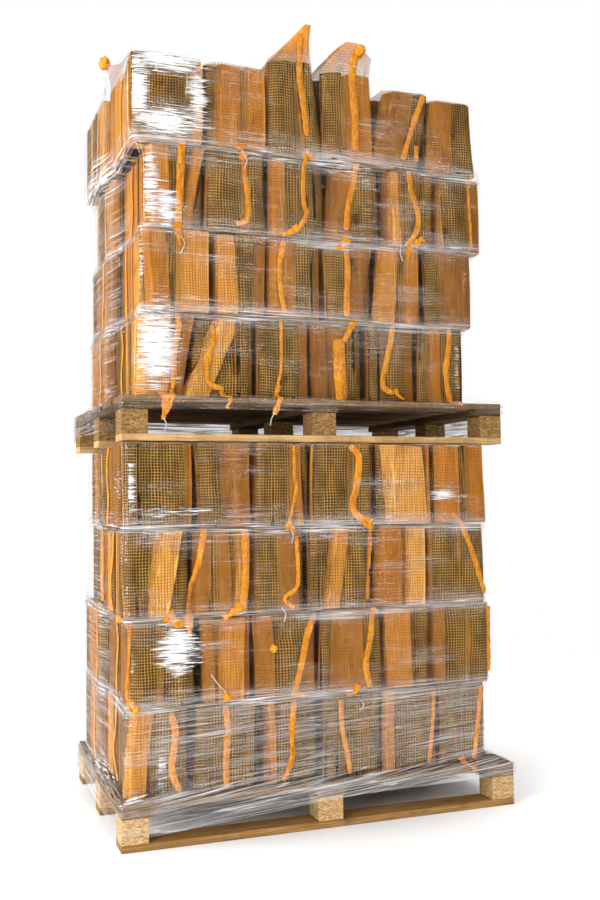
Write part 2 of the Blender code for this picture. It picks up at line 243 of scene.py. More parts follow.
# Seam of the net: the same tape folded and sewn into a bright welt, with the knit still showing
def sewnTape(name, colours):
    material, tree = newMaterial(name)
    place = node(tree, "ShaderNodeTexCoord").outputs["Object"]
    knit = node(tree, "ShaderNodeTexVoronoi", Scale=190.0, Randomness=0.6, Vector=place).outputs["Distance"]
    folds = noise(tree, place, 120.0, 4.0, 0.7, (1.0, 1.0, 0.35))
    # Patches darkened towards the darkest orange by this noise are painted shade.
    shade = noise(tree, place, 35.0, 3.0, 0.6)
    colour = ramp(tree, folds, ((0.34, colours[0]), (0.50, colours[1]), (0.70, colours[2])))
    colour = blend(tree, ramp(tree, knit, ((0.46, 0.0), (0.66, 0.40))), colour, colours[3])
    colour = blend(tree, ramp(tree, shade, ((0.54, 0.0), (0.74, 0.3))), colour, colours[0])
    surface(tree, Base_Color=colour, Roughness=0.42, Specular_IOR_Level=0.35,
            Normal=bump(tree, maths(tree, "ADD", folds, shade), 0.004))
    return material


# Twisted white string
def tieString(name):
    material, tree = newMaterial(name)
    place = node(tree, "ShaderNodeTexCoord").outputs["Object"]
    twist = noise(tree, place, 500.0, 2.0)
    colour = ramp(tree, twist, ((0.3, "#b9b4ae"), (0.6, "#f3f1ee")))
    surface(tree, Base_Color=colour, Roughness=0.5, Normal=bump(tree, twist, 0.001))
    return material


# Stretch film: several clear turns of polyethylene. Where it is clear it only mirrors a little, where it is roped
# or wound thick it turns white, and in given patches it is painted white as a highlight. The attribute thick is 0 where
# it is clear and 1 where it is dense.
def stretchFilm(name, look):
    material, tree = newMaterial(name)
    uv = node(tree, "ShaderNodeUVMap", {"uv_map": "girth"}).outputs[0]
    thick = node(tree, "ShaderNodeAttribute", {"attribute_name": "thick"}).outputs["Fac"]
    strands = []
    for scale, width, gain in look["strands"]:
        # a strand runs where a noise that is drawn out along the wrap crosses its middle value
        field = noise(tree, uv, 1.0, 2.0, 0.6, scale)
        off = maths(tree, "ABSOLUTE", maths(tree, "SUBTRACT", field, 0.5))
        line = maths(tree, "MAXIMUM", maths(tree, "SUBTRACT", 1.0, maths(tree, "DIVIDE", off, width)), 0.0)
        strands.append(maths(tree, "MULTIPLY", line, gain))
    lines = maths(tree, "MAXIMUM", strands[0], maths(tree, "MAXIMUM", strands[1], strands[2]))
    where = ramp(tree, noise(tree, uv, 1.0, 3.0, 0.6, (3.5, 14.0, 1.0)), ((0.50, 0.0), (0.76, 0.95)))
    amount = maths(tree, "ADD", where, maths(tree, "MULTIPLY", thick, look["thickStrand"]))
    milky = maths(tree, "ADD", maths(tree, "MULTIPLY", lines, amount), maths(tree, "MULTIPLY", thick, look["dense"]))
    # In the patches of painted highlight the film is painted white in crinkled streaks.
    paintedGlint = node(tree, "ShaderNodeAttribute", {"attribute_name": "paintedGlint"}).outputs["Fac"]
    glintCrinkle = noise(tree, uv, 1.0, 4.0, 0.7, (13.0, 210.0, 1.0))
    glintCrinkle = maths(tree, "ADD", glintCrinkle, maths(tree, "MULTIPLY", maths(tree, "SUBTRACT", paintedGlint, 1.0), 0.42))
    glintCrinkle = ramp(tree, glintCrinkle, ((0.38, 0.0), (0.50, 1.0)))
    milky = maths(tree, "MAXIMUM", milky, glintCrinkle)
    milky = maths(tree, "MINIMUM", milky, 0.95)
    edgeOn = node(tree, "ShaderNodeLayerWeight", Blend=0.25).outputs["Facing"]
    mirror = maths(tree, "ADD", maths(tree, "MULTIPLY", maths(tree, "POWER", edgeOn, 2.0), look["edgeMirror"]),
                   look["mirror"])
    ridges = noise(tree, uv, 1.0, 3.0, 0.6, (4.0, 150.0, 1.0))
    waves = noise(tree, uv, 1.0, 2.0, 0.5, (9.0, 42.0, 1.0))
    height = maths(tree, "ADD", ridges, maths(tree, "MULTIPLY", waves, 2.5))
    normal = bump(tree, height, look["ridge"])
    metal = maths(tree, "SUBTRACT", 1.0, maths(tree, "MINIMUM", maths(tree, "MULTIPLY", milky, 3.0), 1.0))
    surface(tree, Base_Color=look["colour"], Roughness=look["roughness"], Metallic=metal,
            Alpha=maths(tree, "MAXIMUM", milky, mirror), Normal=normal)
    return material


# Galvanised wire nail: a dull zinc head
def zincNail(name):
    material, tree = newMaterial(name)
    place = node(tree, "ShaderNodeTexCoord").outputs["Object"]
    spots = noise(tree, place, 900.0, 3.0)
    colour = ramp(tree, spots, ((0.3, "#4c4640"), (0.7, "#8d8982")))
    surface(tree, Base_Color=colour, Metallic=0.9, Roughness=0.5, Normal=bump(tree, spots, 0.0004))
    return material


netLook = {"chainPitch": 0.0086, "crossPitch": 0.0082, "chain": 0.0029, "cross": 0.0025, "drift": 0.016,
           "coverWood": 0.42, "coverBark": 0.92, "woodDark": "#854a0e", "woodLight": "#bd7420",
           "barkDark": "#7a5718", "barkLight": "#b98830", "foldDark": "#e07f06", "foldLight": "#ffae1f"}
filmLook = {"strands": (((1.0, 45.0, 1.0), 0.016, 0.60), ((0.6, 100.0, 1.0), 0.022, 0.45),
                        ((2.0, 210.0, 1.0), 0.040, 0.34)),
            "thickStrand": 0.9, "dense": 0.05, "mirror": 0.008, "edgeMirror": 0.10, "ridge": 0.0030,
            "roughness": 0.10, "colour": "#f4f3f3"}

print("materials")
# Copies of the same sawn wood painted lit and shaded for where the light falls: pale is painted lit, for the upper
# pallet's bottom boards; brown is for the lower pallet's bottom boards; the third is painted shade on the deck boards
# and the lower cross boards; the fourth is deeper painted shade on the upper cross boards.
boardShades = {
    "pale": ("#a88450", "#d9b078", "#efcf9c", "#a3804c", "#7d6038"),
    "brown": ("#7c5a30", "#aa7e48", "#c59b64", "#71502a", "#503a20"),
    "painted_shade": ("#5f4526", "#856540", "#a5855a", "#573f22", "#3c2b17"),
    "painted_deep_shade": ("#3d2b16", "#5a4125", "#755a38", "#382813", "#251a0c"),
}
boardWood = {shade: {along: sawnSoftwood(f"sawnSoftwood_{shade}_{along}", along, shades) for along in "xy"}
             for shade, shades in boardShades.items()}
# The upper pallet's blocks get a darker copy of the pressed chip: painted shade.
chip = {"lower": pressedChip("pressedChip", ("#9a7444", "#bd9660", "#cda974", "#dfc294"), "#6b4a28"),
        "upper": pressedChip("shadedPressedChip", ("#664726", "#836036", "#987444", "#b08d5b"), "#402a12")}
logWood = splitLogs("splitFirewood")
net = raschelNet("raschelNet", netLook)
seamTape = sewnTape("netSeam", ("#e28308", "#ffa012", "#ffc640", "#b5640a"))
string = tieString("tieString")
film = stretchFilm("stretchFilm", filmLook)
zinc = zincNail("zincNail")


# Shapes: a tube or strip whose corners carry their own row and column, so that one rule can place them all

def tubeShape(columns, rows, capped):
    shape = bmesh.new()
    bmesh.ops.create_circle(shape, segments=columns, radius=1.0)
    edges = shape.edges[:]
    for _ in range(rows - 1):
        made = bmesh.ops.extrude_edge_only(shape, edges=edges)["geom"]
        verts = {part for part in made if isinstance(part, bmesh.types.BMVert)}
        edges = [part for part in made if isinstance(part, bmesh.types.BMEdge) and verts.issuperset(part.verts)]
        bmesh.ops.translate(shape, verts=list(verts), vec=(0.0, 0.0, 1.0))
    if capped:
        rims = [edge for edge in shape.edges if edge.is_boundary and (capped == "both" or edge.verts[0].co.z > 0.5)]
        bmesh.ops.holes_fill(shape, edges=rims, sides=columns)
    bmesh.ops.recalc_face_normals(shape, faces=shape.faces[:])
    if capped != "both" and sum(face.normal.dot(face.calc_center_median() * Vector((1, 1, 0))) for face in shape.faces) < 0:
        bmesh.ops.reverse_faces(shape, faces=shape.faces[:])
    mesh = bpy.data.meshes.new("template")
    shape.to_mesh(mesh)
    shape.free()
    places = np.array([vert.co for vert in mesh.vertices])
    turn = np.arctan2(places[:, 1], places[:, 0]) / (2 * math.pi) * columns
    loopVert = np.zeros(len(mesh.loops), int)
    mesh.loops.foreach_get("vertex_index", loopVert)
    loopFace = np.concatenate([[face.index] * face.loop_total for face in mesh.polygons])
    column = np.round(turn).astype(int) % columns
    row = np.round(places[:, 2]).astype(int)
    # the column of each face corner, counted on past the last one where the face closes the ring
    corner = column[loopVert].astype(float)
    low = np.full(len(mesh.polygons), columns)
    high = np.zeros(len(mesh.polygons), int)
    np.minimum.at(low, loopFace, column[loopVert])
    np.maximum.at(high, loopFace, column[loopVert])
    size = np.bincount(loopFace)
    wraps = (high - low > columns / 2) & (size == 4)
    corner[wraps[loopFace] & (corner < columns / 2)] += columns
    first = np.where(wraps, columns - 1, low)
    return {"mesh": mesh, "row": row, "column": column, "loopVert": loopVert, "loopFace": loopFace,
            "cornerColumn": corner, "faceColumn": first, "isCap": size != 4, "columns": columns, "rows": rows}


def manyCopies(name, template, points, material, sharp=None):
    # points is copies x corners x 3, in the order of the template's corners
    shape = bmesh.new()
    for _ in range(len(points)):
        shape.from_mesh(template["mesh"])
    mesh = bpy.data.meshes.new(name)
    shape.to_mesh(mesh)
    shape.free()
    mesh.vertices.foreach_set("co", np.asarray(points, np.float32).ravel())
    mesh.materials.append(material)
    mesh.update()
    mesh.shade_smooth()
    if sharp:
        mesh.set_sharp_from_angle(angle=math.radians(sharp))
    made = bpy.data.objects.new(name, mesh)
    scene.collection.objects.link(made)
    return made


def addUv(item, name, values):
    layer = item.data.uv_layers.new(name=name)
    layer.data.foreach_set("uv", np.asarray(values, np.float32).ravel())


def finishPiece(item, slot, *replaced):
    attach(item, "root")
    if replaced:
        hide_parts(*replaced)


# The loads, in each pallet's own frame: where the frame stands, and the same rows of sacks that the CAD layers have

palletSize = {"length": 1.200, "width": 0.800, "height": 0.126, "turn": math.radians(1.0)}
layerHeight = 0.244


def palletPlace(prefix):
    low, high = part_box(f"{prefix}_under_board_middle")
    turn = palletSize["turn"] if prefix == "upper" else 0.0
    return Matrix.Translation(((low.x + high.x) / 2, (low.y + high.y) / 2, low.z)) @ Matrix.Rotation(turn, 4, "Z")


places = {prefix: palletPlace(prefix) for prefix in ("lower", "upper")}


def toRow(prefix, points):
    matrix = np.array(places[prefix])
    points = np.asarray(points, float)
    return points @ matrix[:3, :3].T + matrix[:3, 3]


# Each layer: the stand-in from the pallet's edges, the sacks' shares of the row, and what shows. A log is
# (what faces out, left, right, how far its top leans right), along X on the front and along Y on the left side.
# A seam is its width and the points (X, Z above the pallet's foot) that it runs through.
layers = {
    "upper_4": {
        "left": (0.035, 0.018), "right": 0.045, "front": 0.030, "back": 0.035,
        "shares": (1.15, 1.05, 0.92, 0.95, 0.95, 0.98),
        "logs": (("bark", -0.56, -0.485, 0.0), ("bark", -0.48, -0.395, 0.0), ("pale", -0.39, -0.325, 0.0),
                 ("tan", -0.320, -0.24, 0.0), ("tan", -0.235, -0.145, -0.005), ("bark", -0.148, -0.055, 0.0),
                 ("bark", -0.05, 0.02, -0.045), ("bark", 0.03, 0.09, 0.02), ("tan", 0.095, 0.185, 0.0),
                 ("brown", 0.205, 0.30, 0.06), ("bark", 0.31, 0.375, 0.04), ("brown", 0.385, 0.46, 0.02),
                 ("bark", 0.465, 0.55, -0.01)),
        "side": (("pale", -0.36, -0.27), ("pale", -0.26, -0.16), ("pale", -0.15, -0.02), ("pale", 0.0, 0.12),
                 ("bark", 0.13, 0.24), ("bark", 0.25, 0.36)),
        "seams": ((0.022, ((-0.030, 1.255), (-0.040, 1.20), (-0.052, 1.12), (-0.04, 1.02), (-0.028, 0.925))),
                  (0.028, ((0.135, 1.205), (0.124, 1.16), (0.120, 1.10), (0.127, 1.0), (0.127, 0.895))),
                  (0.022, ((0.365, 1.10), (0.335, 1.02), (0.29, 0.885))),
                  (0.018, ((0.338, 0.935), (0.338, 0.885)))),
    },
    "upper_3": {
        "left": (0.080, 0.050), "right": 0.020, "front": 0.040, "back": 0.030,
        "shares": (0.95, 1.05, 1.05, 1.00, 1.00, 0.95),
        "logs": (("pale", -0.52, -0.45, 0.0), ("bark", -0.445, -0.405, 0.0), ("tan", -0.40, -0.365, 0.04),
                 ("bark", -0.355, -0.345, 0.0), ("bark", -0.34, -0.225, 0.0), ("bark", -0.215, -0.155, 0.0),
                 ("tan", -0.150, -0.10, 0.0), ("bark", -0.095, -0.045, 0.0), ("bark", -0.04, 0.005, 0.0),
                 ("brown", 0.045, 0.12, 0.02), ("bark", 0.125, 0.22, 0.0), ("pale", 0.25, 0.285, -0.01),
                 ("bark", 0.29, 0.345, 0.0), ("bark", 0.35, 0.425, 0.0), ("bark", 0.435, 0.53, 0.0)),
        "side": (("pale", -0.35, -0.26), ("bark", -0.25, -0.19), ("pale", -0.18, -0.02), ("bark", 0.0, 0.10),
                 ("bark", 0.12, 0.22), ("pale", 0.24, 0.35)),
        "seams": ((0.026, ((-0.415, 0.87), (-0.418, 0.78), (-0.425, 0.66), (-0.425, 0.61))),
                  (0.020, ((-0.228, 0.845), (-0.222, 0.79), (-0.216, 0.74), (-0.216, 0.66), (-0.25, 0.640))),
                  (0.017, ((-0.033, 0.87), (-0.040, 0.80), (-0.040, 0.72), (-0.030, 0.69), (-0.060, 0.640),
                           (-0.095, 0.622))),
                  (0.024, ((0.135, 0.86), (0.125, 0.80), (0.105, 0.72), (0.098, 0.65))),
                  (0.021, ((0.313, 0.855), (0.318, 0.80), (0.345, 0.72), (0.335, 0.66), (0.30, 0.618))),
                  (0.012, ((0.532, 0.86), (0.535, 0.75), (0.538, 0.63)))),
    },
    "upper_2": {
        "left": (0.065, 0.040), "right": 0.060, "front": 0.035, "back": 0.040,
        "shares": (1.15, 0.95, 1.00, 0.95, 0.95, 1.00),
        "logs": (("tan", -0.525, -0.455, -0.02), ("pale", -0.435, -0.325, 0.0), ("pale", -0.31, -0.255, 0.0),
                 ("bark", -0.25, -0.20, 0.0), ("brown", -0.195, -0.165, 0.0), ("tan", -0.16, -0.07, 0.0),
                 ("bark", -0.065, -0.005, 0.0), ("bark", 0.01, 0.10, 0.0), ("red", 0.105, 0.165, 0.03),
                 ("pale", 0.18, 0.262, 0.015), ("bark", 0.266, 0.284, 0.0), ("tan", 0.288, 0.335, 0.0),
                 ("bark", 0.34, 0.42, 0.0), ("brown", 0.425, 0.52, 0.0)),
        "side": (("pale", -0.36, -0.20), ("pale", -0.19, -0.05), ("pale", -0.03, 0.10), ("bark", 0.11, 0.19),
                 ("tan", 0.20, 0.28), ("bark", 0.29, 0.35)),
        "seams": ((0.020, ((-0.105, 0.60), (-0.122, 0.52), (-0.118, 0.45), (-0.105, 0.385))),
                  (0.025, ((0.098, 0.60), (0.100, 0.52), (0.094, 0.40), (0.092, 0.385)))),
    },
    "upper_1": {
        "left": (0.050, 0.030), "right": 0.088, "front": 0.040, "back": 0.035,
        "shares": (0.90, 1.10, 1.00, 1.00, 1.00, 1.00),
        "logs": (("pale", -0.545, -0.45, 0.0), ("brown", -0.43, -0.375, 0.03), ("pale", -0.365, -0.285, 0.11), ("bark", -0.255, -0.21, 0.0),
                 ("bark", -0.205, -0.115, 0.0), ("bark", -0.11, -0.055, 0.0), ("red", -0.045, 0.03, 0.0),
                 ("brown", 0.035, 0.09, 0.0), ("bark", 0.095, 0.13, 0.0), ("bark", 0.14, 0.21, 0.0),
                 ("bark", 0.22, 0.30, 0.0), ("bark", 0.31, 0.37, 0.0), ("tan", 0.375, 0.415, 0.0),
                 ("bark", 0.42, 0.49, 0.0)),
        "side": (("pale", -0.35, -0.24), ("pale", -0.23, -0.16), ("bark", -0.14, 0.02), ("bark", 0.03, 0.15),
                 ("bark", 0.17, 0.27), ("pale", 0.28, 0.35)),
        "seams": ((0.022, ((-0.43, 0.365), (-0.425, 0.33), (-0.438, 0.25), (-0.44, 0.17))),
                  (0.018, ((-0.325, 0.34), (-0.32, 0.30), (-0.34, 0.22), (-0.335, 0.17), (-0.29, 0.155))),
                  (0.011, ((-0.115, 0.365), (-0.115, 0.24), (-0.125, 0.18), (-0.14, 0.13))),
                  (0.020, ((0.115, 0.37), (0.10, 0.335), (0.088, 0.31))),
                  (0.050, ((0.070, 0.315), (0.072, 0.22), (0.075, 0.13))),
                  (0.023, ((0.25, 0.365), (0.240, 0.30), (0.215, 0.20), (0.220, 0.170), (0.25, 0.155))),
                  (0.022, ((0.447, 0.365), (0.443, 0.30), (0.433, 0.22), (0.445, 0.135)))),
    },
    "lower_4": {
        "left": (0.003, 0.024), "right": 0.068, "front": 0.006, "back": 0.012,
        "shares": (1.10, 0.90, 0.95, 1.05, 1.00, 1.00),
        "logs": (("bark", -0.59, -0.53, 0.0), ("bark", -0.52, -0.41, 0.0), ("bark", -0.39, -0.31, 0.0),
                 ("brown", -0.30, -0.225, 0.0), ("bark", -0.215, -0.105, 0.0), ("tan", -0.10, -0.07, 0.0),
                 ("bark", -0.06, 0.085, 0.0), ("bark", 0.09, 0.16, 0.0), ("pale", 0.18, 0.32, -0.02),
                 ("brown", 0.325, 0.355, 0.0), ("tan", 0.36, 0.44, 0.0), ("bark", 0.445, 0.46, 0.0),
                 ("tan", 0.465, 0.53, 0.0)),
        "side": (("bark", -0.39, -0.28), ("bark", -0.27, -0.12), ("bark", -0.11, 0.0), ("tan", 0.01, 0.09),
                 ("bark", 0.11, 0.22), ("bark", 0.24, 0.35)),
        "seams": ((0.012, ((-0.096, 1.09), (-0.095, 1.0), (-0.090, 0.97), (-0.105, 0.90), (-0.12, 0.845))),
                  (0.027, ((0.080, 1.092), (0.105, 1.06), (0.100, 0.98), (0.085, 0.91), (0.13, 0.862),
                           (0.15, 0.85))),
                  (0.014, ((0.41, 0.89), (0.445, 0.855)))),
    },
    "lower_3": {
        "left": (0.003, 0.030), "right": 0.065, "front": 0.010, "back": 0.030,
        "shares": (1.05, 0.90, 0.90, 1.10, 0.95, 1.10),
        "logs": (("bark", -0.59, -0.52, 0.0), ("pale", -0.515, -0.445, 0.045), ("brown", -0.435, -0.345, 0.0),
                 ("brown", -0.335, -0.29, 0.0), ("pale", -0.285, -0.22, 0.01), ("bark", -0.215, -0.16, 0.0),
                 ("brown", -0.15, -0.085, 0.0), ("bark", -0.075, -0.01, 0.0), ("pale", 0.005, 0.06, 0.04),
                 ("bark", 0.07, 0.14, 0.0), ("tan", 0.16, 0.24, 0.0), ("pale", 0.25, 0.33, 0.0),
                 ("bark", 0.35, 0.43, 0.0), ("bark", 0.44, 0.53, 0.0)),
        "side": (("bark", -0.38, -0.27), ("bark", -0.26, -0.13), ("bark", -0.12, 0.0), ("pale", 0.03, 0.15),
                 ("tan", 0.16, 0.24), ("bark", 0.25, 0.35)),
        "seams": ((0.024, ((-0.360, 0.88), (-0.372, 0.80), (-0.395, 0.68), (-0.40, 0.62))),
                  (0.026, ((-0.245, 0.85), (-0.245, 0.72), (-0.255, 0.63))),
                  (0.015, ((-0.090, 0.83), (-0.086, 0.72), (-0.095, 0.68), (-0.13, 0.655), (-0.10, 0.625))),
                  (0.021, ((0.147, 0.85), (0.142, 0.75), (0.132, 0.66), (0.14, 0.62))),
                  (0.020, ((0.445, 0.855), (0.475, 0.78), (0.505, 0.69), (0.525, 0.64)))),
    },
    "lower_2": {
        "left": (0.025, 0.004), "right": 0.050, "front": 0.020, "back": 0.030,
        "shares": (1.05, 0.85, 1.05, 1.10, 0.85, 1.10),
        "logs": (("bark", -0.57, -0.49, 0.0), ("bark", -0.48, -0.375, 0.0), ("brown", -0.37, -0.335, 0.0),
                 ("pale", -0.325, -0.245, 0.0), ("brown", -0.235, -0.16, 0.0), ("bark", -0.15, -0.06, 0.07),
                 ("bark", -0.05, 0.02, 0.0), ("brown", 0.03, 0.12, 0.0), ("bark", 0.13, 0.185, 0.0),
                 ("pale", 0.20, 0.275, -0.015), ("bark", 0.285, 0.38, 0.0), ("bark", 0.39, 0.47, 0.0),
                 ("bark", 0.475, 0.545, 0.0)),
        "side": (("bark", -0.37, -0.24), ("bark", -0.23, -0.10), ("bark", -0.09, 0.05), ("bark", 0.07, 0.15),
                 ("tan", 0.16, 0.25), ("bark", 0.26, 0.36)),
        "seams": ((0.016, ((-0.566, 0.61), (-0.568, 0.52), (-0.574, 0.42), (-0.57, 0.385))),
                  (0.024, ((-0.03, 0.61), (-0.055, 0.55), (-0.075, 0.46), (-0.095, 0.385))),
                  (0.022, ((0.148, 0.60), (0.142, 0.53), (0.125, 0.45), (0.135, 0.385))),
                  (0.020, ((0.545, 0.60), (0.54, 0.50), (0.54, 0.40)))),
    },
    "lower_1": {
        "left": (0.020, 0.006), "right": 0.060, "front": 0.030, "back": 0.035,
        "shares": (1.00, 1.04, 1.00, 1.02, 1.04, 0.90),
        "logs": (("pale", -0.575, -0.515, 0.02), ("bark", -0.51, -0.42, 0.0), ("bark", -0.40, -0.32, 0.0),
                 ("bark", -0.31, -0.24, 0.0), ("bark", -0.23, -0.18, 0.0), ("tan", -0.175, -0.155, 0.0),
                 ("bark", -0.15, -0.06, 0.0), ("bark", -0.04, 0.05, 0.0), ("bark", 0.06, 0.13, 0.0),
                 ("bark", 0.14, 0.175, 0.0), ("tan", 0.18, 0.22, 0.0), ("bark", 0.23, 0.34, 0.0),
                 ("bark", 0.36, 0.44, 0.0), ("bark", 0.45, 0.53, 0.0)),
        "side": (("bark", -0.36, -0.21), ("pale", -0.20, -0.06), ("bark", -0.04, 0.08), ("bark", 0.10, 0.20),
                 ("tan", 0.21, 0.28), ("bark", 0.29, 0.36)),
        "seams": ((0.023, ((-0.455, 0.355), (-0.443, 0.29), (-0.455, 0.20), (-0.43, 0.135))),
                  (0.022, ((-0.300, 0.36), (-0.293, 0.29), (-0.300, 0.20), (-0.298, 0.135))),
                  (0.020, ((-0.095, 0.36), (-0.105, 0.27), (-0.105, 0.20), (-0.13, 0.135))),
                  (0.018, ((0.05, 0.35), (0.052, 0.27), (0.068, 0.19), (0.075, 0.135))),
                  (0.016, ((0.362, 0.36), (0.352, 0.26), (0.335, 0.14))),
                  (0.018, ((0.515, 0.36), (0.50, 0.26), (0.485, 0.14)))),
    },
}

# The two sacks of the upper load's top layer that stand above the others, by their place in the front row
raisedSacks = {
    2: {"rise": 0.050, "net": 0.138, "lean": 0.064, "tipBack": 0.055, "tip": 0.13},
    3: {"rise": 0.040, "net": 0.112, "lean": 0.034, "tipBack": 0.055, "tip": 0.22, "round": 2.2, "fold": 0.75},
}

frontRises = (0.010, 0.011, 0.0, 0.0, 0.004, -0.008)  # the top layer's front sacks against the layer's height

sceneGathers = {0: {"rise": 0.0, "net": 0.082, "lean": -0.105, "tipBack": 0.325, "tip": 0.14, "fold": 0.35}}
sackSize = {"gap": 0.007, "corner": 0.030, "skin": 0.003, "logDepth": 0.080, "logPitch": 0.088}


def sacksOf(name, look):
    # The twelve sacks of one layer, in the pallet's frame: the box, the row and the place in the row
    halfLength, halfWidth = palletSize["length"] / 2, palletSize["width"] / 2
    right = halfLength - look["right"]
    front, back = -halfWidth + look["front"], halfWidth - look["back"]
    middle = (front + back) / 2
    base = palletSize["height"] + (int(name[-1]) - 1) * layerHeight + 0.0006
    sacks = []
    for row, (low, high, shares) in enumerate(((front, middle, look["shares"]), (middle, back, look["shares"][::-1]))):
        left = -halfLength + look["left"][row]
        step = (right - left) / sum(shares)
        x = left
        for index, share in enumerate(shares):
            width = step * share
            rise = raisedSacks[index]["rise"] if name == "upper_4" and row == 0 and index in raisedSacks else 0.0
            if name == "upper_4" and row == 0:
                rise += frontRises[index]
            inner = 0.006 * (-1) ** index  # no straight gap runs between the two rows
            near = low + 0.0025 + (inner if row == 1 else 0.0)
            far = high - 0.0025 + (inner if row == 0 else 0.0)
            sacks.append({"row": row, "index": index, "low": np.array((x + 0.0035, near, base)),
                          "high": np.array((x + width - 0.0035, far, base + layerHeight - 0.003 + rise))})
            x += width
    return sacks


# Split logs

logTones = {"pale": (0.0, 0.35), "tan": (0.3, 0.6), "brown": (0.6, 0.85), "red": (0.85, 1.0), "bark": (0.2, 0.8)}
logShape = tubeShape(14, 5, "both")


def logSection(width, depth, barkOut):
    # Fourteen corners of a split log seen from above, from its left edge along the face that shows (w = 0)
    half = width / 2
    points = []
    if barkOut:
        bulge = min(depth * 0.5, width * chance.uniform(0.22, 0.36))
        for step in range(9):
            angle = math.pi * (1 - step / 8)
            points.append((half * math.cos(angle), bulge * (1 - math.sin(angle)) + chance.uniform(-0.0015, 0.0015)))
        apex = chance.uniform(-0.5, 0.5) * half
        points += [(half * 0.98, bulge + 0.004), ((half + apex) / 2, (bulge + depth) / 2), (apex, depth),
                   ((apex - half) / 2, (bulge + depth) / 2), (-half * 0.98, bulge + 0.004)]
    else:
        ridge = chance.uniform(-0.9, 0.9) * half
        slope = chance.choice((0.0, 0.06, 0.16))
        for step in range(5):
            u = -half + width * step / 4
            points.append((u, slope * abs(u - ridge) + chance.uniform(0.0, 0.0015)))
        side = depth * chance.uniform(0.25, 0.5)
        for step in range(9):
            angle = math.pi * step / 8
            points.append((half * math.cos(angle), side + (depth - side) * math.sin(angle)))
    return points


def placeLog(store, sack, kind, middle, width, facing, depth=None, lean=0.0, tilt=0.0):
    # middle is the middle of the face that shows, on the plan; facing is the outward direction on the plan
    depth = depth or sackSize["logDepth"]
    barkOut = kind == "bark"
    section = logSection(width, depth, barkOut)
    out = np.array(facing, float)
    right = np.array((-out[1], out[0]))
    low, high = sack["low"][2] + 0.0025, sack["high"][2] - chance.uniform(0.002, 0.008)
    bow = chance.uniform(-0.004, 0.004)
    taper = chance.uniform(-0.05, 0.05)
    cut = chance.uniform(-0.05, 0.05)
    points = np.zeros((len(logShape["row"]), 3))
    for corner, (row, column) in enumerate(zip(logShape["row"], logShape["column"])):
        u, w = section[column]
        t = row / (logShape["rows"] - 1)
        wide = 1 + taper * (t - 0.5)
        across = u * wide + lean * (t - 0.5) + bow * math.sin(math.pi * t)
        inward = w + tilt * (t - 0.5)
        spot = np.array(middle) + right * across - out * inward
        z = low + (high - low) * t - (cut * u if row == logShape["rows"] - 1 else 0.0)
        points[corner] = (spot[0], spot[1], z)
    tone = chance.uniform(*logTones[kind])
    arc = range(0, 8) if barkOut else range(5, 13)
    faceBark = np.isin(logShape["faceColumn"], list(arc)) & ~logShape["isCap"]
    store["points"].append(points)
    colours = np.zeros((len(logShape["loopFace"]), 4))
    colours[:, 0] = tone
    colours[:, 1] = faceBark[logShape["loopFace"]]
    colours[:, 2] = logShape["isCap"][logShape["loopFace"]]
    colours[:, 3] = 1.0
    store["colours"].append(colours)
    flat = np.array([section[column] for column in logShape["column"]])
    store["sections"].append(flat[logShape["loopVert"]] + (0.0, -depth * 0.8))
    sack.setdefault("logs", []).append(points)
    dull = 0.5 if kind in ("brown", "red") else 0.0  # how clearly the net stands out on the wood
    sack.setdefault("barkFaces", []).append(np.where(faceBark, 1.0, dull))


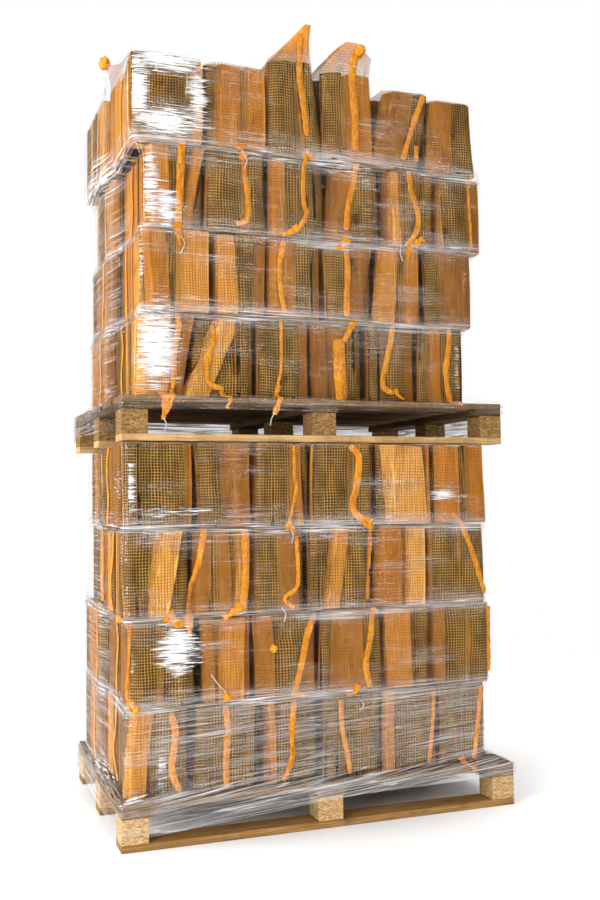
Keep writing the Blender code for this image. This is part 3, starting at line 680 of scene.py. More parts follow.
def fillSack(store, sack, frontLogs, sideLogs):
    # Logs that show come from the layer's lists; the rest stand behind them in a loose grid
    low, high = sack["low"], sack["high"]
    skin, pitch, depth = sackSize["skin"], sackSize["logPitch"], sackSize["logDepth"]
    outward = -1.0 if sack["row"] == 0 else 1.0
    faceY = low[1] + skin if sack["row"] == 0 else high[1] - skin
    for kind, left, right, lean in frontLogs:
        left, right = max(left, low[0] + skin), min(right, high[0] - skin)
        if right - left > 0.012:
            placeLog(store, sack, kind, ((left + right) / 2, faceY + chance.uniform(0.0, 0.006)), right - left,
                     (0.0, -1.0), depth=min(depth, (right - left) * 1.1 + 0.02),
                     lean=lean + chance.uniform(-0.009, 0.009), tilt=chance.uniform(-0.004, 0.010))
    sides = (low[0] + skin, high[0] - skin)
    stops = [sides[0]] + [stop for log in frontLogs for stop in log[1:3]] + [sides[1]]
    for left, right in zip(stops[::2], stops[1::2]):
        if frontLogs and right - left > 0.006 and not (sideLogs and left == sides[0]):
            left, right = max(left - 0.022, sides[0]), min(right + 0.022, sides[1])
            placeLog(store, sack, chance.choice(("bark", "brown")), ((left + right) / 2, faceY - outward * 0.022),
                     right - left, (0.0, -1.0), depth=0.06)
    startX, endX = low[0] + skin, high[0] - skin
    if sideLogs:
        for kind, near, far in sideLogs:
            near, far = max(near, low[1] + skin), min(far, high[1] - skin)
            if far - near > 0.02:
                placeLog(store, sack, kind, (low[0] + skin + chance.uniform(0.0, 0.006), (near + far) / 2), far - near,
                         (-1.0, 0.0), depth=depth * 0.9)
        startX += depth * 0.9
    columns = max(1, round((endX - startX) / pitch))
    rows = max(1, round((high[1] - low[1] - 2 * skin) / pitch))
    first = 1 if frontLogs else 0
    for row in range(first, rows):
        along = (high[1] - low[1] - 2 * skin) / rows
        for column in range(columns):
            wide = (endX - startX) / columns
            x = startX + wide * (column + 0.5)
            y = faceY - outward * along * (row + 0.02)
            kind = chance.choice(("bark", "bark", "pale", "tan", "brown"))
            atEnd = (column == 0 and sack["index"] == 0) or (column == columns - 1 and sack["index"] == 5)
            if atEnd and row > 0:
                side = -1.0 if column == 0 and sack["index"] == 0 else 1.0
                edge = low[0] + skin if side < 0 else high[0] - skin
                placeLog(store, sack, kind, (edge, y - outward * along * 0.5), along * 0.94, (side, 0.0),
                         depth=wide * 0.92)
            else:
                placeLog(store, sack, kind, (x, y), wide * 0.94, (0.0, outward), depth=along * 0.94,
                         lean=chance.uniform(-0.006, 0.006))


# Net sacks: a skin drawn tight round each sack's logs, open underneath where the sack stands on its own logs

netShape = tubeShape(56, 19, "top")
netRows = {"foot": 3, "side": 13}  # rings of the bottom, and of the side


def roundedLoop(low, high, corner, count):
    # Points and outward directions, evenly spaced along a rectangle with round corners, from the middle of +X
    width, depth = high[0] - low[0] - 2 * corner, high[1] - low[1] - 2 * corner
    arc = corner * math.pi / 2
    runs = (depth / 2, arc, width, arc, depth, arc, width, arc, depth / 2)
    total = sum(runs)
    spots, outs = [], []
    for index in range(count):
        s = total * index / count
        run = 0
        while s > runs[run] and run < 8:
            s -= runs[run]
            run += 1
        if run in (0, 8):
            y = (low[1] + high[1]) / 2 + s if run == 0 else low[1] + corner + s
            spots.append((high[0], y)); outs.append((1.0, 0.0))
        elif run == 2:
            spots.append((high[0] - corner - s, high[1])); outs.append((0.0, 1.0))
        elif run == 4:
            spots.append((low[0], high[1] - corner - s)); outs.append((-1.0, 0.0))
        elif run == 6:
            spots.append((low[0] + corner + s, low[1])); outs.append((0.0, -1.0))
        else:
            quarter = (run - 1) // 2
            centre = ((high[0] - corner, high[1] - corner), (low[0] + corner, high[1] - corner),
                      (low[0] + corner, low[1] + corner), (high[0] - corner, low[1] + corner))[quarter]
            angle = math.pi / 2 * (quarter + s / arc)
            outs.append((math.cos(angle), math.sin(angle)))
            spots.append((centre[0] + corner * outs[-1][0], centre[1] + corner * outs[-1][1]))
    return np.array(spots), np.array(outs), total


def drawTight(depth, passes, slack):
    # A taut skin: it can't reach further in than its neighbours' mean plus a little
    for _ in range(passes):
        mean = (np.roll(depth, 1, axis=-1) + np.roll(depth, -1, axis=-1)) / 2
        depth = np.minimum(depth, mean + slack)
    return depth


def sackSkin(sack, gather):
    columns = netShape["columns"]
    low, high = sack["low"], sack["high"]
    start = 0.012  # rays start this far outside the sack
    spots, outs, girth = roundedLoop(low - start, high + start, sackSize["corner"] + start, columns)
    triangles = [tuple(face.vertices) for face in logShape["mesh"].polygons]
    size = len(logShape["row"])
    corners, faces = [], []
    for number, points in enumerate(sack["logs"]):
        corners += [tuple(p) for p in points]
        faces += [tuple(v + number * size for v in face) for face in triangles]
    tree = BVHTree.FromPolygons(corners, faces)
    sideRows = netRows["side"]
    heights = [low[2] + (high[2] - low[2]) * k / (sideRows - 1) for k in range(sideRows)]
    depth = np.zeros((sideRows, columns))
    bark = np.zeros((sideRows, columns))
    barkFaces = sack["barkFaces"]
    for k, z in enumerate(heights):
        z = min(max(z, low[2] + 0.012), high[2] - 0.030)
        for i in range(columns):
            _, _, face, hit = tree.ray_cast(Vector((*spots[i], z)), Vector((*-outs[i], 0.0)), start + 0.03)
            depth[k, i] = (hit if hit is not None else start + 0.03) - 0.0022
            bark[k, i] = 1.0 if face is None else barkFaces[face // len(triangles)][face % len(triangles)]
    depth = drawTight(depth, 60, 0.0018)
    for _ in range(2):
        depth[1:-1] = np.minimum(depth[1:-1], (depth[:-2] + depth[2:]) / 2 + 0.002)
    rings = []
    middle = (low + high) / 2
    inset = np.array([0.0015] + [0.0] * (sideRows - 2) + [0.0015])
    for k in range(sideRows):
        plan = spots - outs * (depth[k] + inset[k])[:, None]
        rings.append(np.column_stack([plan, np.full(columns, heights[k])]))
    bottom, top = rings[0], rings[-1]
    for share in (0.98, 0.88, 0.75):
        ring = middle + (bottom - middle) * (share, share, 0)
        ring[:, 2] = low[2] - 0.0002
        rings.insert(0, ring)
    if gather:
        tip = np.array((middle[0] + gather["lean"], low[1] + gather["tipBack"], high[2] + gather["net"]))
        for t in (0.28, 0.62, 1.0) if "round" not in gather else (0.45, 0.82, 1.0):
            share = 1 + (gather["tip"] - 1) * t ** gather.get("round", 0.85)
            centre = np.array((middle[0] + (tip[0] - middle[0]) * t, middle[1] + (tip[1] - middle[1]) * t ** 0.6,
                               high[2] + gather["net"] * t))
            ring = centre + (top - middle) * (share, share * (1 - 0.75 * t), 0)
            ring[:, 2] = centre[2]
            rings.append(ring)
    else:
        for share, lift in ((0.97, 0.0006), (0.5, 0.0015), (0.05, 0.0018)):
            ring = middle + (top - middle) * (share, share, 0)
            ring[:, 2] = high[2] + lift
            rings.append(ring)
    rings = np.array(rings)
    points = rings[netShape["row"], netShape["column"]]
    around = netShape["cornerColumn"] / columns * girth
    up = np.zeros(netShape["rows"])
    up[1:] = np.cumsum(np.linalg.norm(np.diff(rings, axis=0), axis=2).mean(axis=1))
    state = np.zeros((netShape["rows"], columns, 4))
    state[:, :, 3] = 1.0
    state[netRows["foot"]:netRows["foot"] + sideRows, :, 0] = bark
    if gather:
        state[-3:, :, 1] = np.array((0.6, 0.92, 1.0))[:, None] * gather.get("fold", 1.0)
    corners = netShape["loopVert"]
    return (points, np.column_stack([around, up[netShape["row"][corners]]]),
            state[netShape["row"][corners], netShape["column"][corners]])


# Strips: the sewn seams of the sacks, laid on whatever is under them

stripShape = tubeShape(6, 25, "both")


def smoothPath(points, count):
    # A smooth curve through the points, evenly divided
    points = np.asarray(points, float)
    if len(points) == 2:
        points = np.vstack([points[0], points.mean(axis=0), points[1]])
    ends = np.vstack([2 * points[0] - points[1], points, 2 * points[-1] - points[-2]])
    dense = []
    for a, b, c, d in zip(ends, ends[1:], ends[2:], ends[3:]):
        for t in np.linspace(0, 1, 24, endpoint=False):
            dense.append(0.5 * (2 * b + (c - a) * t + (2 * a - 5 * b + 4 * c - d) * t * t
                                + (3 * b - a - 3 * c + d) * t ** 3))
    dense = np.array(dense + [points[-1]])
    run = np.concatenate([[0], np.cumsum(np.linalg.norm(np.diff(dense, axis=0), axis=1))])
    return np.column_stack([np.interp(np.linspace(0, run[-1], count), run, dense[:, k])
                            for k in range(dense.shape[1])])


def stripPoints(centres, outs, widths, thickness, ruffle=0.0022):
    # centres: rows x 3; outs: the outward direction at each; a flat six-sided ribbon with wavy edges
    rows = stripShape["rows"]
    waves = [[chance.uniform(-1, 1) for _ in range(rows)] for _ in range(6)]
    ahead = np.gradient(centres, axis=0)
    across = np.cross(outs, ahead)
    across /= np.linalg.norm(across, axis=1)[:, None] + 1e-12
    points = np.zeros((len(stripShape["row"]), 3))
    for corner, (row, column) in enumerate(zip(stripShape["row"], stripShape["column"])):
        angle = 2 * math.pi * column / 6
        wave = waves[column][row] * ruffle * abs(math.cos(angle))
        points[corner] = (centres[row] + across[row] * (math.cos(angle) * widths[row] / 2 + wave)
                          + outs[row] * (math.sin(angle) * thickness / 2 + max(wave, 0.0)))
    return points


def layOn(tree, path, outward, lift):
    # path: (along, z) on the plane that outward faces. Each point is dropped on the surface under it, and below
    # the deck's top on the deck's edge.
    outward = np.array(outward, float)
    along = np.array((-outward[1], outward[0], 0.0))
    centres, outs = [], []
    last = None
    for a, z in path:
        origin = along * a + outward * 0.75 + np.array((0, 0, z))
        hit, normal, _, _ = tree.ray_cast(Vector(origin), Vector(-outward), 0.6)
        reach = np.dot(np.array(hit), outward) if hit is not None else last
        if reach is None:
            reach = 0.36
        last = reach
        deckTop = palletSize["height"]
        ledge = np.interp(z, (deckTop + 0.002, deckTop + 0.008), (palletSize["width"] / 2 - 0.0025, 0.0))
        centres.append(along * a + outward * (max(reach, ledge) + lift) + np.array((0, 0, z)))
        outs.append(outward)
    centres = np.array(centres)
    for _ in range(3):
        reach = centres @ outward
        centres[1:-1] += outward * (np.maximum(reach[1:-1], (reach[:-2] + reach[2:]) / 2) - reach[1:-1])[:, None]
    return centres, np.array(outs)


seamWidening = 1.55  # the welt with its frayed edges is wider than its bright core


def seamStrips(tree, prefix, look, name, strips):
    seams = [((0.0, -1.0, 0.0), width, points) for width, points in look["seams"]]
    base = palletSize["height"] + (int(name[-1]) - 1) * layerHeight
    # the sides that the picture of the front doesn't settle: a seam for each sack that stands there
    for outward, spots in (((0.0, 1.0, 0.0), np.linspace(-0.48, 0.48, 6)), ((-1.0, 0.0, 0.0), (-0.10, 0.17)),
                           ((1.0, 0.0, 0.0), (-0.17, 0.19))):
        for spot in spots:
            spot += chance.uniform(-0.04, 0.04)
            bend = [chance.uniform(-0.018, 0.018) for _ in range(4)]
            seams.append((outward, chance.uniform(0.014, 0.024),
                          [(spot + bend[k], base + layerHeight * share)
                           for k, share in enumerate((0.97, 0.65, 0.35, 0.03))]))
    rows = stripShape["rows"]
    for outward, width, points in seams:
        path = smoothPath(points, rows)
        centres, outs = layOn(tree, path, outward, 0.0015)
        widths = np.array([width * seamWidening * (0.8 + 0.4 * chance.random()) for _ in range(rows)])
        widths = np.convolve(np.pad(widths, 2, mode="edge"), np.ones(5) / 5, mode="valid")
        widths[0] *= 0.6
        widths[-1] *= 0.6
        strips.append(stripPoints(centres, outs, widths, 0.0024))


# Tails: net ends that hang over the layer or the deck below. Each is the width at its start and at its end, and
# the points (X, Z above the pallet's foot) that it runs through. Knots: middle (X, outward from the front, Z) and size.
# Strings: the points that a white tie string runs through, on the front.
netEnds = {
    "upper": {
        "tails": ((0.078, 0.016, ((-0.474, 0.150), (-0.476, 0.116), (-0.483, 0.058))),
                  (0.024, 0.022, ((-0.440, 0.175), (-0.452, 0.130), (-0.476, 0.074))),
                  (0.034, 0.014, ((-0.300, 0.150), (-0.288, 0.122), (-0.300, 0.094))),
                  (0.022, 0.032, ((-0.125, 0.170), (-0.138, 0.124), (-0.156, 0.079))),
                  (0.030, 0.012, ((0.255, 0.170), (0.262, 0.150), (0.285, 0.138))),
                  (0.030, 0.014, ((0.445, 0.150), (0.448, 0.130), (0.462, 0.120))),
                  (0.060, 0.020, ((-0.430, 0.625), (-0.425, 0.595), (-0.420, 0.560))),
                  (0.070, 0.018, ((0.100, 0.625), (0.085, 0.600), (0.060, 0.588))),
                  (0.050, 0.016, ((0.320, 0.625), (0.305, 0.600), (0.300, 0.572))),
                  (0.065, 0.030, ((-0.240, 0.868), (-0.232, 0.850), (-0.228, 0.835))),
                  (0.060, 0.020, ((-0.040, 0.872), (-0.020, 0.860), (0.010, 0.852))),
                  (0.050, 0.018, ((0.330, 0.622), (0.350, 0.640), (0.365, 0.636))),
                  (0.055, 0.020, ((-0.060, 0.645), (-0.085, 0.628), (-0.110, 0.618))),
                  (0.045, 0.016, ((0.118, 0.372), (0.110, 0.350), (0.098, 0.330)))),
        "knots": ((0.150, 0.055, 1.213, 0.021), (-0.228, 0.006, 0.846, 0.014)),
        "strings": (((-0.240, 0.858), (-0.228, 0.840), (-0.222, 0.822), (-0.230, 0.802)),
                    ((0.280, 0.618), (0.276, 0.590), (0.284, 0.566)),
                    ((-0.420, 0.590), (-0.410, 0.566), (-0.421, 0.536)),
                    ((-0.483, 0.064), (-0.475, 0.046), (-0.481, 0.026)),
                    ((-0.156, 0.084), (-0.166, 0.066), (-0.170, 0.047))),
    },
    "lower": {
        "tails": ((0.080, 0.014, ((-0.405, 0.632), (-0.404, 0.590), (-0.403, 0.552))),
                  (0.090, 0.030, ((-0.470, 0.622), (-0.450, 0.605), (-0.420, 0.590))),
                  (0.050, 0.020, ((0.150, 0.862), (0.135, 0.872), (0.118, 0.880))),
                  (0.060, 0.024, ((-0.120, 0.868), (-0.104, 0.852), (-0.098, 0.838))),
                  (0.060, 0.020, ((-0.260, 0.640), (-0.285, 0.622), (-0.305, 0.605))),
                  (0.055, 0.020, ((0.135, 0.632), (0.150, 0.612), (0.165, 0.600))),
                  (0.060, 0.020, ((-0.105, 0.390), (-0.085, 0.376), (-0.060, 0.370))),
                  (0.055, 0.020, ((-0.570, 0.400), (-0.565, 0.376), (-0.552, 0.360))),
                  (0.050, 0.018, ((0.095, 0.395), (0.085, 0.372), (0.070, 0.362))),
                  (0.045, 0.016, ((0.440, 0.150), (0.455, 0.128), (0.470, 0.118)))),
        "knots": ((-0.160, -0.012, 0.512, 0.012), (-0.298, 0.006, 0.610, 0.014), (-0.555, 0.004, 0.372, 0.012),
                  (-0.300, 0.004, 0.388, 0.013)),
        "strings": (((-0.345, 0.452), (-0.322, 0.420), (-0.300, 0.396), (-0.308, 0.380)),
                    ((-0.108, 0.850), (-0.102, 0.834), (-0.106, 0.812)),
                    ((-0.140, 0.630), (-0.128, 0.612), (-0.132, 0.588)),
                    ((0.110, 0.345), (0.120, 0.330), (0.108, 0.316))),
    },
}

knotShape = tubeShape(10, 7, "both")


def addTails(prefix, tree):
    rows = stripShape["rows"]
    tails = []
    for start, end, points in netEnds[prefix]["tails"]:
        centres, outs = layOn(tree, smoothPath(points, rows), (0.0, -1.0, 0.0), 0.0045)
        ahead = np.gradient(centres, axis=0)
        outs[-ahead[:, 1] > 1.5 * np.abs(ahead[:, 2])] = (0.0, -0.15, 0.989)  # it lies on the deck on its way out
        share = np.linspace(0, 1, rows)
        widths = start + (end - start) * share ** 0.7 + 0.006 * np.sin(share * 17 + start * 300)
        tails.append(stripPoints(centres, outs, widths, 0.0030, ruffle=0.0022))
    item = manyCopies(f"{prefix}_net_tails", stripShape, toRow(prefix, tails), seamTape)
    finishPiece(item, "net_sacks")


def addKnots(prefix, tree, extra):
    # a knot is a lumpy ball: rings from pole to pole, each corner moved in or out a little
    knots = []
    spots = [((x, 0.0, z), lift, size) for x, lift, z, size in netEnds[prefix]["knots"]]
    for (x, _, z), lift, size in spots:
        hit = tree.ray_cast(Vector((x, -0.75, z)), Vector((0.0, 1.0, 0.0)), 0.6)[0]
        y = (hit.y if hit is not None else -0.36) - size * 0.3
        knots.append(((x, y, z), size))
    for middle, size in knots + list(extra):
        points = np.zeros((len(knotShape["row"]), 3))
        for corner, (row, column) in enumerate(zip(knotShape["row"], knotShape["column"])):
            up = math.pi * (0.04 + 0.92 * row / 6)
            turn = 2 * math.pi * column / 10
            reach = size * chance.uniform(0.82, 1.15)
            points[corner] = (middle[0] + reach * math.sin(up) * math.cos(turn),
                              middle[1] + reach * math.sin(up) * math.sin(turn), middle[2] - reach * math.cos(up))
        extra = [*extra, points]
    points = [part for part in extra if isinstance(part, np.ndarray)]
    item = manyCopies(f"{prefix}_net_knots", knotShape, toRow(prefix, points), seamTape)
    finishPiece(item, "net_sacks")


def addStrings(prefix, tree):
    rows = stripShape["rows"]
    for number, points in enumerate(netEnds[prefix]["strings"], 1):
        centres, outs = layOn(tree, smoothPath(points, rows), (0.0, -1.0, 0.0), 0.006)
        centres[:, 1] = centres[:, 1].min()
        centres = smoothPath(centres, rows)
        strand = stripPoints(centres, outs, np.full(rows, 0.0042), 0.0036, ruffle=0.0)
        item = manyCopies(f"{prefix}_tie_string_{number}", stripShape, [toRow(prefix, strand)], string)
        finishPiece(item, "tie_string")


def joinedTree(prefix):
    corners, faces = [], []
    for points, polygons, strips in netTrees[prefix]:
        faces += [tuple(v + len(corners) for v in face) for face in polygons]
        corners += [tuple(p) for p in points]
    return BVHTree.FromPolygons(corners, faces)


# Build the layers

print("sacks")
netTrees = {"lower": [], "upper": []}
netSkins = {"lower": [], "upper": []}
for name, look in layers.items():
    prefix, number = name.split("_")
    store = {"points": [], "colours": [], "sections": []}
    skins, girths, states = [], [], []
    sacks = sacksOf(name, look)
    for sack in sacks:
        frontLogs = ()
        if sack["row"] == 0:
            frontLogs = [log for log in look["logs"] if sack["low"][0] <= (log[1] + log[2]) / 2 < sack["high"][0] + 0.007]
        sideLogs = ()
        if sack["index"] == 0:
            sideLogs = [log for log in look["side"] if sack["low"][1] <= (log[1] + log[2]) / 2 < sack["high"][1]]
            if frontLogs:
                sideLogs = [(kind, max(near, sack["low"][1] + 0.06), far) for kind, near, far in sideLogs]
        fillSack(store, sack, frontLogs, sideLogs)
        gather = None
        if name == "upper_4" and sack["row"] == 0:
            gather = raisedSacks.get(sack["index"]) or sceneGathers.get(sack["index"])
        points, girth, state = sackSkin(sack, gather)
        skins.append(points)
        girths.append(girth)
        states.append(state)
    logs = manyCopies(f"{prefix}_logs_{number}", logShape, toRow(prefix, store["points"]), logWood, sharp=38)
    attribute = logs.data.color_attributes.new("logKind", "FLOAT_COLOR", "CORNER")
    attribute.data.foreach_set("color", np.asarray(store["colours"], np.float32).ravel())
    addUv(logs, "section", store["sections"])
    finishPiece(logs, "split_logs")
    skin = manyCopies(f"{prefix}_net_sacks_{number}", netShape, toRow(prefix, skins), net)
    addUv(skin, "girth", girths)
    attribute = skin.data.color_attributes.new("netState", "FLOAT_COLOR", "CORNER")
    attribute.data.foreach_set("color", np.asarray(states, np.float32).ravel())
    finishPiece(skin, "net_sacks", f"{prefix}_sack_layer_{number}")
    netSkins[prefix].append(skin)
    corners = np.asarray(skins).reshape(-1, 3)
    faces = [tuple(v + k * len(netShape["row"]) for v in face.vertices)
             for k in range(len(skins)) for face in netShape["mesh"].polygons]
    tree = BVHTree.FromPolygons([tuple(c) for c in corners], faces)
    strips = []
    seamStrips(tree, prefix, look, name, strips)
    seams = manyCopies(f"{prefix}_net_seams_{number}", stripShape, toRow(prefix, strips), seamTape)
    finishPiece(seams, "net_sacks")
    # the net of one layer is twelve tubes, each 1.07 m round and 0.38 m long
    netTrees[prefix].append((corners, faces, np.asarray(strips).reshape(-1, 3)))


sideKnots = {"upper": [((-0.578, -0.045, 1.196), 0.021)], "lower": [((-0.585, -0.30, 0.612), 0.012)]}
for prefix in ("lower", "upper"):
    loadTree = joinedTree(prefix)
    addTails(prefix, loadTree)
    addKnots(prefix, loadTree, sideKnots[prefix])
    addStrings(prefix, loadTree)


# Stretch film, drawn tight round each load from the deck's edge up to the rim

print("film")
filmShape = tubeShape(260, 110, None)
# The rim and the foot as heights above the pallet's foot along X on the front, and the patches of painted
# highlight on the front: their middle (X, Z), half sizes and strength
filmWrap = {
    "lower": {
        "rim": ((-0.6, 1.098), (0.6, 1.098)), "leftRim": ((-0.4, 1.098), (0.4, 1.098)),
        "foot": ((-0.6, 0.030), (-0.50, 0.040), (-0.15, 0.070), (0.02, 0.085), (0.5, 0.092), (0.6, 0.100)),
        "sideFoot": (0.030, 0.045), "slope": 0.09, "slopeTop": 0.36,
        "paintedGlints": ((-0.575, 0.97, 0.022, 0.11, 0.9), (0.385, 0.945, 0.07, 0.022, 0.9), (-0.45, 0.905, 0.14, 0.020, 0.8),
                    (-0.50, 0.85, 0.07, 0.020, 0.7), (-0.44, 0.525, 0.062, 0.075, 1.05),
                    (-0.565, 0.47, 0.012, 0.10, 0.7), (-0.483, 0.20, 0.014, 0.06, 0.92),
                    (-0.56, 0.135, 0.05, 0.012, 0.9), (0.52, 0.60, 0.02, 0.04, 0.6)),
        "leftPaintedGlints": ((-0.34, 0.98, 0.10, 0.05, 0.75), (-0.05, 0.60, 0.16, 0.05, 0.7), (-0.25, 0.36, 0.2, 0.03, 0.8),
                        (0.1, 0.86, 0.2, 0.03, 0.7), (0.0, 0.14, 0.3, 0.03, 0.75)),
        "leftPaintedSheen": (0.0, 0.15, 0.8),
    },
    "upper": {
        "rim": ((-0.6, 1.115), (-0.50, 1.128), (-0.15, 1.150), (-0.02, 1.178), (0.16, 1.155), (0.30, 1.126),
                (0.47, 1.112), (0.6, 1.085)),
        "leftRim": ((-0.4, 1.125), (-0.25, 1.150), (-0.05, 1.190), (0.10, 1.150), (0.2, 1.112), (0.4, 1.108)),
        "foot": ((-0.6, 0.088), (0.6, 0.092)),
        "sideFoot": (0.030, 0.055), "slope": 0.0, "slopeTop": 0.36,
        "paintedGlints": ((-0.46, 1.095, 0.11, 0.040, 1.1), (-0.46, 0.915, 0.11, 0.045, 1.1), (-0.37, 1.0, 0.030, 0.10, 1.0),
                    (-0.545, 1.0, 0.035, 0.12, 1.08), (-0.505, 0.73, 0.028, 0.12, 1.0), (-0.46, 0.67, 0.045, 0.06, 1.0),
                    (-0.54, 0.50, 0.014, 0.10, 0.9), (-0.49, 0.27, 0.065, 0.125, 1.1), (0.47, 0.25, 0.012, 0.11, 0.8),
                    (0.50, 0.51, 0.012, 0.09, 0.7), (0.10, 0.84, 0.12, 0.02, 0.7), (0.16, 0.80, 0.05, 0.03, 0.7)),
        "leftPaintedGlints": ((-0.36, 1.0, 0.06, 0.13, 1.05), (-0.28, 1.09, 0.12, 0.03, 0.95), (-0.36, 0.75, 0.04, 0.08, 0.85),
                        (0.0, 0.86, 0.25, 0.03, 0.8), (-0.36, 0.27, 0.05, 0.10, 0.85), (-0.1, 0.36, 0.2, 0.03, 0.75),
                        (0.0, 0.13, 0.3, 0.03, 0.8)),
        "leftPaintedSheen": (0.0, 0.2, 0.9),
    },
}


def filmLoops(prefix, heights):
    # The film's turn at each height, before it is drawn tight: just outside the sacks, and on the deck's edge below
    halfLength, halfWidth = palletSize["length"] / 2, palletSize["width"] / 2
    deck = palletSize["height"]
    knots, insets = [0.0, deck + 0.004], [(0.0, 0.0, 0.0, 0.0)] * 2
    for number in range(1, 5):
        look = layers[f"{prefix}_{number}"]
        inset = (min(look["left"]), look["right"], look["front"], look["back"])
        base = deck + (number - 1) * layerHeight
        knots += [base + (0.045 if number == 1 else 0.015), base + layerHeight - 0.015]
        insets += [inset, inset]
    left, right, front, back = (np.interp(heights, knots, side) for side in np.array(insets).T)
    spots, outs = [], []
    for k, z in enumerate(heights):
        out = 0.0065 if z < deck + 0.004 else 0.010
        low = np.array((-halfLength + left[k] - out, -halfWidth + front[k] - out))
        high = np.array((halfLength - right[k] + out, halfWidth - back[k] + out))
        corner = float(np.interp(z, (deck, deck + 0.05), (0.004, 0.040)))
        spot, outward, girth = roundedLoop(low, high, corner, filmShape["columns"])
        spots.append(spot)
        outs.append(outward)
    return np.array(spots), np.array(outs)


def wrapFilm(prefix, wrap):
    columns, rows = filmShape["columns"], filmShape["rows"]
    halfLength, halfWidth = palletSize["length"] / 2, palletSize["width"] / 2
    girth = 4 * (halfLength + halfWidth)
    deck = palletSize["height"]
    tree = joinedTree(prefix)
    share = np.concatenate([np.linspace(-1, 0, 7), np.linspace(0, 1, rows - 6)[1:]])
    even = np.where(share < 0, deck + (deck - 0.088) * share, deck + (1.115 - deck) * share)
    spots, outs = filmLoops(prefix, even)
    across, along = spots[-1, :, 0], spots[-1, :, 1]
    facing = outs[-1]
    onLeft, onRight, onBack = facing[:, 0] < -0.9, facing[:, 0] > 0.9, facing[:, 1] > 0.4
    rim = np.interp(across, *zip(*wrap["rim"]))
    rim = np.where(onLeft, np.interp(along, *zip(*wrap["leftRim"])), rim)
    rim = np.where(onRight, np.interp(along, (-0.4, 0.4), (wrap["rim"][-1][1], wrap["leftRim"][-1][1])), rim)
    rim = np.where(onBack, wrap["leftRim"][-1][1], rim)
    foot = np.interp(across, *zip(*wrap["foot"]))
    foot = np.where(onLeft, np.interp(-along, (-halfWidth, halfWidth), wrap["sideFoot"][::-1]), foot)
    # behind and on the right the film is drawn down over the pallet, many turns thick, a sheet that stands for the
    # shade seen through the pallet
    shadeCurtain = onRight & (along > -0.30) | onBack
    foot = np.where(shadeCurtain, 0.030, foot)
    for edge in (rim, foot):
        edge[:] = np.convolve(np.pad(edge, 4, mode="wrap"), np.ones(9) / 9, mode="valid")
    heights = np.where(share[:, None] < 0, deck + (deck - foot)[None] * share[:, None],
                       deck + (rim - deck)[None] * share[:, None])
    depth = np.zeros((rows, columns))
    start, reach = 0.05, 0.13
    for k in np.nonzero(share > 0)[0]:
        for i in range(columns):
            outward = Vector((*outs[k, i], 0.0))
            spot = Vector((*spots[k, i], heights[k, i])) + outward * start
            hit = tree.ray_cast(spot, -outward, reach)[3]
            depth[k, i] = (hit - start if hit is not None else 0.05) - 0.003
    low = share <= 0
    for _ in range(4):
        depth[~low] = drawTight(depth[~low], 40, 0.00010)
        for _ in range(30):
            slack = np.where(onLeft & (along > 0.05) | onBack, 0.00005, 0.0007)
            inner = (depth[:-2] + depth[2:]) / 2 + np.where(heights[1:-1] < deck + 0.06, 0.004, slack)
            depth[1:-1] = np.where(low[1:-1, None], depth[1:-1], np.minimum(depth[1:-1], inner))
    plan = spots - outs * depth[:, :, None]
    rings = np.concatenate([plan, heights[:, :, None]], axis=2)
    row, column = filmShape["row"], filmShape["column"]
    item = manyCopies(f"{prefix}_film_wrap", filmShape, [toRow(prefix, rings[row, column])], film)
    around = filmShape["cornerColumn"] / columns * girth
    x, y = spots[:, :, 0], spots[:, :, 1]
    strand = heights - wrap["slope"] * np.clip(x + 0.6, 0, None) * np.clip(
        (wrap["slopeTop"] + 0.08 - heights) / 0.16, 0, 1)
    corner = filmShape["loopVert"]
    addUv(item, "girth", np.column_stack([around, strand[row[corner], column[corner]]]))
    dense = (0.12 if prefix == "upper" else 0.35) * (heights < deck + 0.015) + 0.45 * np.exp(-((rim[None] - heights) / 0.010) ** 2)
    for number in range(1, 4):
        wander = 0.006 * np.sin(x * 9 + number * 2)
        off = heights - wander - deck - number * layerHeight
        dense = dense + 1.0 * np.exp(-(off / 0.017) ** 2) + 0.42 * np.exp(-(off / 0.050) ** 2)
    if prefix == "lower":
        dense = dense + 0.75 / (1 + np.exp((heights - 0.355) / 0.012)) * np.clip((x + 0.55) / 0.07, 0.2, 1)
    # The film hanging over the pallet behind and on the right is made dense so that it darkens the openings: painted
    # shade.
    dense = dense + 5.0 * (heights < deck - 0.002) * shadeCurtain
    # the patches where the film is painted white as a highlight, on the front and on the left side
    paintedGlint = np.zeros((rows, columns))
    for places, spot, side in ((wrap["paintedGlints"], x, outs[:, :, 1] < -0.9), (wrap["leftPaintedGlints"], y, outs[:, :, 0] < -0.9)):
        for middle, z, wide, tall, gain in places:
            off = ((spot - middle) / wide) ** 2 + ((heights - z) / tall) ** 2
            paintedGlint = np.maximum(paintedGlint, gain * np.exp(-0.45 * off) * side)
    # The film on the left side is painted whiter towards the back: a painted sheen.
    dense = dense + (outs[:, :, 0] < -0.9) * np.interp(y, (-0.36, -0.12, 0.1), wrap["leftPaintedSheen"])
    for name, values in (("thick", dense), ("paintedGlint", paintedGlint)):
        attribute = item.data.attributes.new(name, "FLOAT", "POINT")
        attribute.data.foreach_set("value", values[row, column].astype(np.float32))
    finishPiece(item, "stretch_film", f"{prefix}_stretch_film")
    return item


films = {prefix: wrapFilm(prefix, wrap) for prefix, wrap in filmWrap.items()}


# Pallets: the CAD boards and blocks, with copies of their wood painted lit and shaded for where the light falls

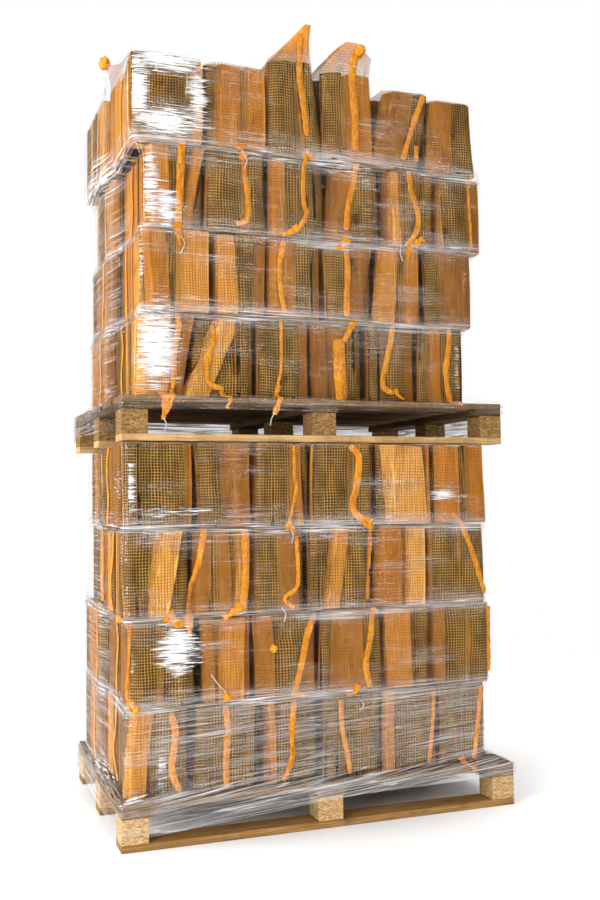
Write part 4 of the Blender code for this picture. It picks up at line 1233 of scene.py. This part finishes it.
print("pallets")
for name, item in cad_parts.items():
    if "board" not in name and "block" not in name:
        continue
    prefix = name.split("_")[0]
    # Each part gets the copy of the wood painted for the light on it: painted lit for the upper bottom boards, painted
    # shade on the decks and cross boards.
    shade = "pale" if prefix == "upper" else "brown"
    if "deck" in name or "cross" in name:
        shade = "painted_deep_shade" if name.startswith("upper_cross") else "painted_shade"
    finish = chip[prefix] if "block" in name else boardWood[shade]["y" if "cross" in name else "x"]
    for slot in item.material_slots:
        slot.material = finish


# Nail heads, three in a row where a deck board lies on a cross board
nailLook = {"radius": 0.0045, "height": 0.0012, "inset": 0.030}


def addNails(prefix):
    shape = bmesh.new()
    turn = Matrix.Rotation(palletSize["turn"] if prefix == "upper" else 0.0, 4, "Z")
    for side in ("left", "middle", "right"):
        low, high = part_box(f"{prefix}_cross_board_{side}")
        middle = Vector(((low.x + high.x) / 2, 0.0, 0.0))
        for board in range(1, 6):
            boardLow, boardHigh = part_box(f"{prefix}_deck_board_{board}")
            y = (boardLow.y + boardHigh.y) / 2
            for dx, dy in ((-0.022, nailLook["inset"]), (0.018, 0.002), (-0.012, -nailLook["inset"])):
                spot = turn @ Vector((dx + chance.uniform(-0.004, 0.004), dy, 0.0))
                spot += Vector((middle.x, y, boardHigh.z + nailLook["height"] / 2 - 0.0004))
                bmesh.ops.create_cone(shape, cap_ends=True, segments=10, radius1=nailLook["radius"],
                                      radius2=nailLook["radius"] * 0.8, depth=nailLook["height"],
                                      matrix=Matrix.Translation(spot))
    mesh = bpy.data.meshes.new(f"{prefix}_nail_heads")
    shape.to_mesh(mesh)
    shape.free()
    mesh.materials.append(zinc)
    item = bpy.data.objects.new(mesh.name, mesh)
    scene.collection.objects.link(item)
    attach(item, "root")


for prefix in ("lower", "upper"):
    addNails(prefix)


# Floor, light and camera

print("stage")
floorMesh = bpy.data.meshes.new("floor")
floorShape = bmesh.new()
bmesh.ops.create_circle(floorShape, cap_ends=True, segments=64, radius=4.0)
floorShape.to_mesh(floorMesh)
floorShape.free()
floor = bpy.data.objects.new("floor", floorMesh)
floor.location = (0.0, 0.0, -0.0005)
scene.collection.objects.link(floor)
floorFinish, floorTree = newMaterial("palePaint")
floorPlace = node(floorTree, "ShaderNodeTexCoord").outputs["Object"]
floorReach = node(floorTree, "ShaderNodeVectorMath", {"operation": "LENGTH"}, _0=floorPlace).outputs["Value"]
floorFade = node(floorTree, "ShaderNodeMapRange", Value=floorReach, From_Min=1.6, From_Max=4.0, To_Min=1.0,
                 To_Max=0.0).outputs[0]
floorGlow = node(floorTree, "ShaderNodeMapRange", Value=floorReach, From_Min=0.45, From_Max=1.0, To_Min=0.0,
                 To_Max=0.45).outputs[0]
surface(floorTree, Base_Color="#f6f6f6", Roughness=0.9, Alpha=floorFade, Emission_Color="#ffffff",
        Emission_Strength=floorGlow)
floorMesh.materials.append(floorFinish)

skyLight = {"diffuse": 0.50, "mirrored": 0.30}  # the studio lights the object less than the background looks
world = bpy.data.worlds.new("studio")
scene.world = world
world.use_nodes = True
world.node_tree.nodes["Background"].inputs["Color"].default_value = (1.0, 1.0, 1.0, 1.0)
ray = node(world.node_tree, "ShaderNodeLightPath").outputs
dimmed = node(world.node_tree, "ShaderNodeMix", Factor=ray["Is Glossy Ray"], A=skyLight["diffuse"],
              B=skyLight["mirrored"]).outputs[0]
dimmed = node(world.node_tree, "ShaderNodeMix", Factor=ray["Is Camera Ray"], A=dimmed, B=1.0).outputs[0]
world.node_tree.links.new(dimmed, world.node_tree.nodes["Background"].inputs["Strength"])

lamps = {
    "keyLamp": {"place": (-2.7, -2.4, 1.8), "size": (1.2, 2.8), "power": 84.0},
    "frontLamp": {"place": (1.2, -3.4, 2.4), "size": (1.6, 1.6), "power": 28.0},
    "sideLamp": {"place": (-3.2, 0.2, 1.3), "size": (1.2, 1.8), "power": 60.0},
    "topLamp": {"place": (0.0, -0.6, 5.0), "size": (3.0, 3.0), "power": 45.0},
}
for name, lamp in lamps.items():
    data = bpy.data.lights.new(name, "AREA")
    data.shape = "RECTANGLE"
    data.size, data.size_y = lamp["size"]
    data.energy = lamp["power"]
    item = bpy.data.objects.new(name, data)
    item.location = lamp["place"]
    item.rotation_euler = (Vector((0.0, 0.0, 1.2)) - Vector(lamp["place"])).to_track_quat("-Z", "Y").to_euler()
    scene.collection.objects.link(item)

cameraView = {"place": (-1.0915, -3.197, 0.9386), "yaw": 0.3486, "pitch": 0.047, "roll": -0.011,
              "focal": 1028.57, "imageHeight": 900}
cameraData = bpy.data.cameras.new("camera")
cameraData.sensor_width = 36.0
cameraData.lens = cameraView["focal"] * 36.0 / cameraView["imageHeight"]
camera = bpy.data.objects.new("camera", cameraData)
forward = Vector((math.sin(cameraView["yaw"]) * math.cos(cameraView["pitch"]),
                  math.cos(cameraView["yaw"]) * math.cos(cameraView["pitch"]), math.sin(cameraView["pitch"])))
side = Vector((math.cos(cameraView["yaw"]), -math.sin(cameraView["yaw"]), 0.0))
upright = side.cross(forward)
rollCos, rollSin = math.cos(cameraView["roll"]), math.sin(cameraView["roll"])
side, upright = side * rollCos + upright * rollSin, upright * rollCos - side * rollSin
camera.matrix_world = Matrix((side, upright, -forward)).transposed().to_4x4()
camera.location = cameraView["place"]
scene.collection.objects.link(camera)
scene.camera = camera
scene.view_settings.view_transform = "Standard"

print("done")
